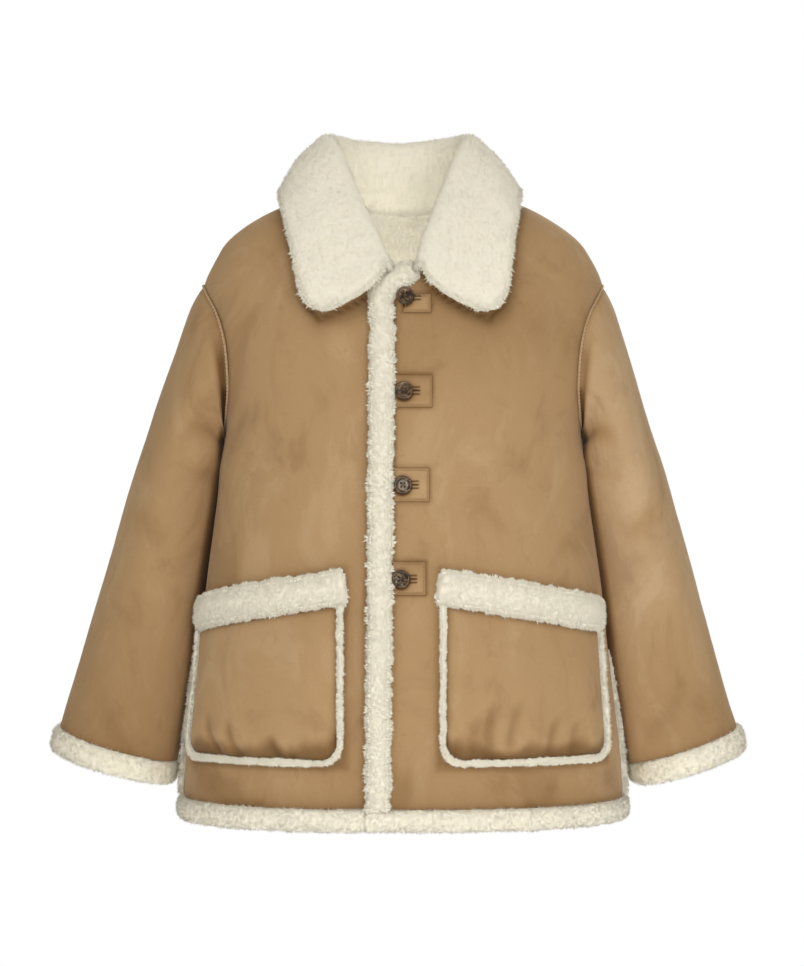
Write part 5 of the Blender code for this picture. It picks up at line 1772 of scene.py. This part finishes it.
# ---- collar ----
@dataclass
class Collar:
    """A stand round the neck that folds over into a wide fall with two points."""

    finishes: Finishes
    thickness: float = 0.0100
    seam_thickness: float = 0.0045
    lift: float = 0.0042
    fold_radius: float = 0.0070
    bow: float = 0.006
    front_bow: float = 0.0150
    bow_rows: int = 4
    half_rows: int = 17
    back_stations: int = 3
    stand_steps: int = 3
    fold_steps: int = 5
    fall_steps: int = 5
    edge_round: float = 0.0055
    corner: float = 0.0170
    tucked: float = 0.0045
    step: float = 0.0026
    locks: int = 20000

    def seam(self, neck_z: float, front: bool) -> Array:
        """Where the collar stands on the neckline, in the middle of the cloth's thickness."""
        z = np.array(neck_z)
        s = BODY.arc_at_x(z, neck_half_width(z, front), front)
        point = (BODY.point(s, z, front) + BODY.point(s, z, front, -WALL)) / 2
        return point + (0.0, 0.0, self.lift)

    def section(self, seam: Array, fold: Array, edge: Array, tangent: Array, size: float,
                front_bow: float) -> list[Array]:
        """Points across the collar: up the stand, round the fold's arc and down the fall."""
        stand = unit((seam - fold) - np.dot(seam - fold, tangent) * tangent)
        fall = unit((edge - fold) - np.dot(edge - fold, tangent) * tangent)
        down, out = unit(stand + fall), unit(fall - stand)
        radius = self.fold_radius * size
        half_angle = math.acos(np.dot(stand, fall)) / 2
        arc = [fold - radius * (math.cos(a) * out + math.sin(a) * down)
               for a in np.linspace(half_angle, math.pi - half_angle, self.fold_steps)]
        points = [seam + (arc[0] - seam) * t
                  for t in np.linspace(0, 1, self.stand_steps, endpoint=False)] + arc
        outside = arc[-1]
        swell = unit(np.cross(tangent, edge - outside))
        swell = -swell if np.dot(swell, out) < 0 else swell
        for t in np.linspace(0.0, 1.0, self.fall_steps + 1)[1:]:
            bow = swell * self.bow * size * math.sin(math.pi * t)
            bow = bow + tangent * front_bow * math.sin(math.pi * t**0.75)
            points.append(outside + (edge - outside) * t + bow)
        return points

    @classmethod
    def shape(cls) -> Array:
        """The middle surface's points alone."""
        return cls(None).grid()[0]

    def grid(self) -> tuple[Array, Array]:
        """The middle of the collar's thickness, right front end to left front end, and its size."""
        half = np.array([np.concatenate((self.seam(neck_z, index >= self.back_stations), rest))
                         for index, (neck_z, *rest) in enumerate(COLLAR_STATIONS)])
        flip = np.array((-1, 1, 1, -1, 1, 1, -1, 1, 1, 1.0))
        whole = smooth_path(np.concatenate((half[:0:-1] * flip, half)), 0.0, 2 * self.half_rows - 1)
        seam, fold, edge, size = whole[:, 0:3], whole[:, 3:6], whole[:, 6:9], whole[:, 9]
        shifts = np.array(COLLAR_SHIFTS)
        for points in (fold, edge):
            points[:, 0] += np.interp(points[:, 2], shifts[::-1, 0], shifts[::-1, 1])
        tangents = unit(np.gradient(fold, axis=0))
        count = len(whole)
        from_end = np.minimum(np.arange(count), count - 1 - np.arange(count))
        bow = self.front_bow * np.clip(1.0 - from_end / self.bow_rows, 0, 1) ** 1.3
        bow = bow * np.where(np.arange(count) < count / 2, -1.0, 1.0)
        grid = np.array([self.section(*row) for row in zip(seam, fold, edge, tangents, size, bow)])
        return grid, size

    @staticmethod
    def refined(grid: Array, step: float) -> Array:
        """The grid read at even steps along the smooth curves of its rows and columns."""
        for axis in (0, 1):
            spans = np.linalg.norm(np.diff(grid[..., :3], axis=axis), axis=2)
            spans = spans.mean(axis=1 - axis)
            at = np.concatenate(([0.0], np.cumsum(spans)))
            places = np.linspace(0.0, at[-1], int(spans.sum() / step) + 1)
            flat = np.moveaxis(grid, axis, 0).reshape(len(at), -1)
            read = np.stack([smooth(at, column, places) for column in flat.T], axis=1)
            shape = list(np.moveaxis(grid, axis, 0).shape)
            shape[0] = len(places)
            grid = np.moveaxis(read.reshape(shape), 0, axis)
        return grid

    def round_corners(self, middle: Array) -> Array:
        """Draw each front point in from its square corner to a quarter circle."""
        along, across = travelled(middle), travelled(middle, 1)
        first = along < along[-1:] / 2
        from_end = np.where(first, along, along[-1:] - along)
        from_edge = across[:, -1:] - across
        a = np.clip(1 - from_end / self.corner, 0.0, 1.0)
        b = np.clip(1 - from_edge / self.corner, 0.0, 1.0)
        move_end = self.corner * a * (1 - np.sqrt(1 - b * b / 2))
        move_edge = self.corner * b * (1 - np.sqrt(1 - a * a / 2))
        inward = unit(np.gradient(middle, axis=0)) * np.where(first, 1.0, -1.0)[..., None]
        return middle + inward * move_end[..., None] \
            - unit(np.gradient(middle, axis=1)) * move_edge[..., None]

    def build(self) -> None:
        """Make the collar: both faces moved off the middle surface, with thin rounded edges."""
        coarse, size = self.grid()
        coarse[:, 0, 2] -= self.tucked
        sizes = np.repeat(size[:, None, None], coarse.shape[1], axis=1)
        fine = self.refined(np.concatenate((coarse, sizes), axis=2), self.step)
        middle, size = self.round_corners(fine[..., :3]), np.minimum(fine[..., 3], 1.0)
        normals = grid_normals(middle, False)
        if normals[len(normals) // 2, -1, 1] < 0:
            normals = -normals
        row_at, column_at = travelled(middle), travelled(middle, 1)
        from_end = np.minimum(row_at, row_at[-1:] - row_at)
        from_edge = column_at[:, -1:] - column_at
        near = np.minimum(from_end + 0.0006, from_edge + 0.0006)
        rounded = quarter(1 - near / self.edge_round)
        thin = self.seam_thickness / self.thickness
        half = self.thickness / 2 * size * rounded \
            * (thin + (1 - thin) * np.clip(column_at / 0.02, 0, 1))
        swell = 0.0012 * noise(middle, 0.060, 171) + 0.0006 * noise(middle, 0.026, 173)
        shown = middle + normals * (half + swell)[..., None]
        hidden = middle - normals * (half - swell)[..., None]
        shown, pile = woolly(shown, normals, 161, 0.0011)
        hidden, _ = woolly(hidden, -normals, 165, 0.0012)
        surface = wall(shown, hidden, False, (0, 0, 0), pile)
        piece = place("shearling_collar", surface, [self.finishes.collar_wool], "fleece", "collar")
        place("collar_locks", self.pile(middle, shown, normals), [self.finishes.locks], "fleece",
              None)

    def pile(self, middle: Array, shown: Array, normals: Array) -> Surface:
        """The collar's locks: all over, along the neck seam, round the rim and at the fold's ends.

        Args:
            middle: points in the middle of the collar's thickness.
            shown: points of the face that shows.
            normals: that face's outward normals.

        Returns:
            The surface.
        """
        row_at, column_at = travelled(middle), travelled(middle, 1)
        from_end = np.minimum(row_at, row_at[-1:] - row_at)
        from_edge = column_at[:, -1:] - column_at
        inside = column_at > 0.004
        ahead = unit(normals - (0.0, 0.45, 0.0))
        locks = [fibres(shown[inside], normals[inside], self.locks, 0.0027, 0.0010, 0.85, 181,
                        ahead[inside], (0.0, 0.0, -0.25), 0, 0.14)]
        at_seam = (column_at < 0.004) & (middle[..., 1] > 0) & (np.abs(middle[..., 0]) < 0.085)
        locks.append(fibres(shown[at_seam], normals[at_seam], 1100, 0.0042, 0.0022, 0.8, 193,
                            droop=(0.0, 0.0, -0.9), finish=0, rough=0.14))
        rim = (from_end < 0.006) | (from_edge < 0.006)
        rim[:, :8] = False
        along, across = (unit(np.gradient(middle, axis=axis)) for axis in (0, 1))
        beyond = np.where((from_edge < from_end)[..., None], across,
                          along * np.where(row_at < row_at[-1:] / 2, -1.0, 1.0)[..., None])
        locks.append(fibres(shown[rim], unit(normals * 0.25 + beyond)[rim], 5200, 0.0034, 0.0010,
                            0.8, 183, ahead[rim], finish=0, rough=0.12))
        locks.append(fibres(shown[rim], unit(normals * 0.1 + beyond)[rim], 1800, 0.0040, 0.0022,
                            0.7, 187, ahead[rim], finish=0, rough=0.12, ragged=0.6))
        columns = middle.shape[1]
        fold_at = slice(int(columns * 0.18), int(columns * 0.55))
        for rows_at, sign in ((slice(0, 3), -1.0), (slice(-3, None), 1.0)):
            way = unit(along[rows_at, fold_at] * sign + (0.0, -0.4, -0.3))
            locks.append(fibres(middle[rows_at, fold_at], way, 420, 0.0052, 0.0026, 0.7, 191,
                                np.broadcast_to((0.0, -1.0, 0.1), way.shape), finish=0))
        return reduce(Surface.join, locks)


# ---- fastening ----
BUTTONS = (
    # button x, z,     patch left, patch right, patch bottom, patch top
    (0.0022, -0.1330, 0.0000, 0.0310, -0.1510, -0.1300),
    (0.0010, -0.2370, -0.0095, 0.0320, -0.2552, -0.2196),
    (-0.0002, -0.3400, -0.0103, 0.0290, -0.3585, -0.3214),
    (-0.0022, -0.4430, -0.0113, 0.0250, -0.4608, -0.4238),
)
# Shares of a button's radius, and the height of its face and of its back there.
BUTTON_RIM = (0.66, 0.71, 0.76, 0.81, 0.86, 0.90, 0.94, 0.97, 0.99, 1.0)
BUTTON_FACE = ((0.0, 0.58, 0.70, 0.80, 0.88, 0.94, 0.98, 1.0),
               (0.60, 0.62, 0.76, 0.98, 1.0, 0.93, 0.80, 0.62))
BUTTON_BACK = ((1.0, 0.97, 0.88, 0.70, 0.40, 0.03), (0.45, 0.25, 0.08, 0.0, 0.0, 0.0))


@dataclass
class Fastening:
    """Four suede patches with their sewn edges, bound buttonholes and horn buttons."""

    finishes: Finishes
    patch_thickness: float = 0.0014
    radius: float = 0.0100
    thickness: float = 0.0034
    stitch: float = 0.0026
    gap: float = 0.0011
    thread: float = 0.00032
    inset: float = 0.0026
    hole: float = 0.19
    around: int = 96

    def build(self) -> None:
        """Make each patch, buttonhole and button."""
        for index, row in enumerate(BUTTONS):
            self.patch(index + 1, *row)
            self.button(index + 1, row[0], row[1])

    def patch(self, number: int, x: float, button_z: float, left: float, right: float,
              bottom: float, top: float) -> None:
        """A patch: cloth whose edges are turned in, puffed inside its row of stitches."""
        s = left + (right - left) * spaced(right - left, 0.0012, (0.0, 0.0005, 0.0012))
        z = bottom + (top - bottom) * spaced(top - bottom, 0.0008, (0.0, 0.0005, 0.0012))
        s, z = np.meshgrid(s, z)
        near = np.minimum(np.minimum(s - left, right - s), np.minimum(z - bottom, top - z))
        sewn = bell(near, self.inset, 0.0010)
        out = self.patch_thickness - 0.0008 * (1 - ease(near / 0.0012)) - 0.00055 * sewn \
            + 0.0006 * ease(near / 0.008)
        slit_left, slit_right = x + 0.001, x + self.radius + 0.0085
        inside = ease((s - slit_left) / 0.002) * ease((slit_right - s) / 0.002)
        lips = np.abs(z - button_z)
        out = out + inside * (0.0016 * bell(lips, 0.0018, 0.0010) - 0.0018 * bell(lips, 0, 0.0007)
                              - 0.0012 * bell(lips, 0.0038, 0.0008))
        # Painted shade along the turned-in edges and the stitch line, a painted shadow below the
        # button, and painted shade in the buttonhole's slit and the grooves outside its lips.
        below = np.hypot(s - x + 0.0006, z - button_z + 0.0016) - self.radius
        shade = shaded((near, 0.0010, 0.55), (np.abs(near - self.inset), 0.0005, 0.14),
                       (below, 0.0020, 0.75))
        shade = shade * (1 - inside * (0.80 * bell(lips, 0, 0.0009)
                                       + 0.65 * bell(lips, 0.0038, 0.0009)))
        outer = on_body(s, z, True, LIFT + out)
        inner = on_body(s, z, True, LIFT * 0.4)
        surface = wall(outer, inner, False, (0, 0, 0), shade)
        piece = place(f"button_patch_{number}_suede", surface, [self.finishes.suede], "suede",
                      f"button_patch_{number}")
        self.stitches(number, left, right, bottom, top)

    def stitches(self, number: int, left: float, right: float, bottom: float,
                 top: float) -> None:
        """The stitches inside a patch's edges: short threads that dip in at both their ends."""
        corners = np.array(((left, bottom), (right, bottom), (right, top), (left, top),
                            (left, bottom)))
        corners += self.inset * np.array(((1, 1), (-1, 1), (-1, -1), (1, -1), (1, 1)))
        share = np.array((0.0, 0.12, 0.5, 0.88, 1.0))
        thick = np.array((0.45, 0.9, 1.0, 0.9, 0.45))
        dip = np.array((-0.0005, -0.0001, 0.0001, -0.0001, -0.0005))
        out = LIFT + self.patch_thickness + 0.0001
        threads = []
        for a, b in zip(corners[:-1], corners[1:]):
            length = np.linalg.norm(b - a)
            count = max(int(round(length / (self.stitch + self.gap))), 1)
            half = self.stitch / 2 / length
            for t in (np.arange(count) + 0.5) / count:
                first, last = a + (b - a) * (t - half), a + (b - a) * (t + half)
                s, z = (first[None] + (last - first)[None] * share[:, None]).T
                threads.append(round_thread(on_body(s, z, True, out + dip), self.thread * thick, 6))
        place(f"patch_stitches_{number}", reduce(Surface.join, threads),
              [self.finishes.thread], "suede", None)

    def button(self, number: int, x: float, z: float) -> None:
        """A turned button: a raised rim round a dished face, with four holes and crossed thread.

        Its face is height over distance from the middle and angle. Each hole is a bell that
        sinks the face almost to the back.
        """
        base = on_body(np.array(x), np.array(z), True, LIFT + self.patch_thickness + 0.0008)
        normal = BODY.normal(np.array(0.0), np.array(z), True)
        normal = unit(normal + np.array((0.10, 0.0, -0.06)) * (1 if number % 2 else -0.7))
        side = unit(np.cross(normal, (0.0, 0.0, 1.0)))
        upright = np.cross(side, normal)
        share = np.concatenate((np.linspace(0.03, 0.60, 20), BUTTON_RIM))
        face, hole = len(share), self.hole
        profile = np.concatenate((np.interp(share, *BUTTON_FACE), BUTTON_BACK[1]))
        r, a = np.meshgrid(np.concatenate((share, BUTTON_BACK[0])), turns(self.around),
                           indexing="ij")
        height = np.repeat(profile[:, None], self.around, axis=1)
        u, v = r * np.cos(a), r * np.sin(a)
        for hole_u, hole_v in product((hole, -hole), repeat=2):
            gap = np.hypot(u - hole_u, v - hole_v)[:face]
            height[:face] -= 0.50 * (1 - ease((gap - 0.075) / 0.035))
        rings = base + u[..., None] * side * self.radius \
            + v[..., None] * upright * self.radius + height[..., None] * normal * self.thickness
        surface = tube(rings, False)
        place(f"button_{number}_horn", surface, [self.finishes.horn], "horn",
              f"button_{number}", 35.0)
        top = base + normal * self.thickness * 0.66
        along = np.linspace(0.0, 1.0, 9)[:, None]
        arch = normal * (0.0004 * np.sin(math.pi * along) - 0.0010 * (np.abs(along - 0.5) > 0.45))
        threads = []
        for way, shift in product((1, -1), (-0.028, 0.028)):
            start = (way * hole * side + (hole + shift) * upright) * self.radius
            end = (-way * hole * side + (shift - hole) * upright) * self.radius
            threads.append(round_thread(top + start + (end - start) * along + arch, 0.00026, 6))
        place(f"button_thread_{number}", reduce(Surface.join, threads),
              [self.finishes.dark_thread], "horn", None)


def round_thread(line: Array, radius: Array | float, around: int) -> Surface:
    """A thin round thread along a line of points."""
    along = unit(np.gradient(line, axis=0))
    across = unit(np.cross(along, (0.12, 0.99, 0.07)))
    return tube(circles(line, across, np.cross(along, across), radius, around), False)


# ---- studio ----
LAMPS = (
    # name, x, y, z of the lamp,    x, y, z that it faces,  watts, metres across
    ("front", 0.24, -1.70, -0.38, 0.0, 0.0, -0.36, 9.5, 0.80),
    ("key", -0.70, -2.10, 1.60, 0.0, 0.0, -0.36, 15.0, 0.90),
    ("side", 1.70, -1.90, 0.10, 0.0, 0.0, -0.36, 5.0, 1.60),
    ("back", 0.40, 2.40, 1.20, 0.0, 0.0, -0.36, 34.0, 1.80),
    ("neck", 0.00, -0.045, -0.175, 0.0, 0.10, -0.035, 0.12, 0.07),
)


@dataclass
class Studio:
    """The camera, a pale floor, soft lights and a white surround."""

    image: tuple[int, int] = (804, 966)
    sensor: float = 36.0
    millimetres_per_pixel: float = 1.15
    distance: float = 3.0
    centre: tuple[float, float] = (-0.00115, -0.338)
    floor_z: float = -1.05
    floor_radius: float = 0.95
    floor_grid: tuple[int, int] = (12, 96)
    surround: float = 0.44
    warmth: tuple[float, float, float] = (1.03, 0.99, 0.90)

    def build(self) -> None:
        """Set up everything but the coat."""
        scene = bpy.context.scene
        scene.view_settings.view_transform = "Standard"
        scene.view_settings.look = "None"
        self.camera()
        self.floor()
        for name, x, y, z, to_x, to_y, to_z, power, size in LAMPS:
            self.lamp(f"{name}_light", (x, y, z), (to_x, to_y, to_z), power, size)
        self.world()

    def camera(self) -> None:
        """A long lens square to the front, that sees one pixel's width as 1.15 mm at the coat."""
        data = bpy.data.cameras.new("camera")
        data.sensor_fit = "HORIZONTAL"
        data.sensor_width = self.sensor
        data.lens = self.sensor * self.distance * 1000 \
            / (self.image[0] * self.millimetres_per_pixel)
        data.clip_end = 50.0
        camera = in_scene("camera", data)
        camera.location = (self.centre[0], -self.distance, self.centre[1])
        camera.rotation_euler = (math.pi / 2, 0.0, 0.0)
        bpy.context.scene.camera = camera

    def lamp(self, name: str, place_at: tuple[float, float, float],
             facing: tuple[float, float, float], power: float, size: float) -> None:
        """A square soft lamp that faces one place and that the camera doesn't see."""
        data = bpy.data.lights.new(name, "AREA")
        data.energy, data.size = power, size
        lamp = in_scene(name, data)
        away = np.subtract(place_at, facing)
        lamp.location = place_at
        lamp.rotation_euler = (math.atan2(math.hypot(away[0], away[1]), away[2]), 0.0,
                               math.atan2(away[1], away[0]) + math.pi / 2)
        lamp.visible_camera = False

    def floor(self) -> None:
        """A pale round floor below the coat: rings of points round the middle."""
        count, around = self.floor_grid
        turn, share = turns(around), np.linspace(0.02, 1.0, count)[:, None]
        x, y = share * np.cos(turn) * self.floor_radius, share * np.sin(turn) * self.floor_radius
        rings = np.stack((x, y, np.full_like(x, self.floor_z)), axis=-1)
        faces = quads(count, around, False, True)[:, ::-1]
        mesh = bpy.data.meshes.new("floor")
        mesh.from_pydata(rings.reshape(-1, 3).tolist(), [],
                         faces.tolist() + [list(range(around))])
        made, book, shader = blank_material("floor_white")
        book.fill(shader, Base_Color=(0.9, 0.9, 0.9, 1), Roughness=0.8,
                  Emission_Color=(1, 1, 1, 1), Emission_Strength=0.45)
        mesh.materials.append(made)
        in_scene("floor", mesh)

    def world(self) -> None:
        """White all round: full white behind the coat, and softer where it lights it."""
        world = bpy.data.worlds.new("surround")
        world.use_nodes = True
        bpy.context.scene.world = world
        book = NodeBook(world.node_tree)
        seen = book.add("ShaderNodeLightPath").outputs["Is Camera Ray"]
        light = tuple(self.surround * share for share in self.warmth) + (1.0,)
        book.fill(world.node_tree.nodes["Background"], Color=book.mix(seen, light, (1, 1, 1, 1)))


def main() -> None:
    """Build the coat and the studio in order."""
    finishes = Finishes()
    for part in (Collar(finishes), BodyPanels(finishes), Sleeves(finishes), Pipings(finishes),
                 EdgeStrips(finishes), Bands(finishes), Pockets(finishes), Fastening(finishes)):
        part.build()
        LOG.info("%s done", type(part).__name__)
    Studio().build()


if __name__ == "__main__":
    logging.basicConfig(level=logging.INFO, format="%(message)s")
    main()
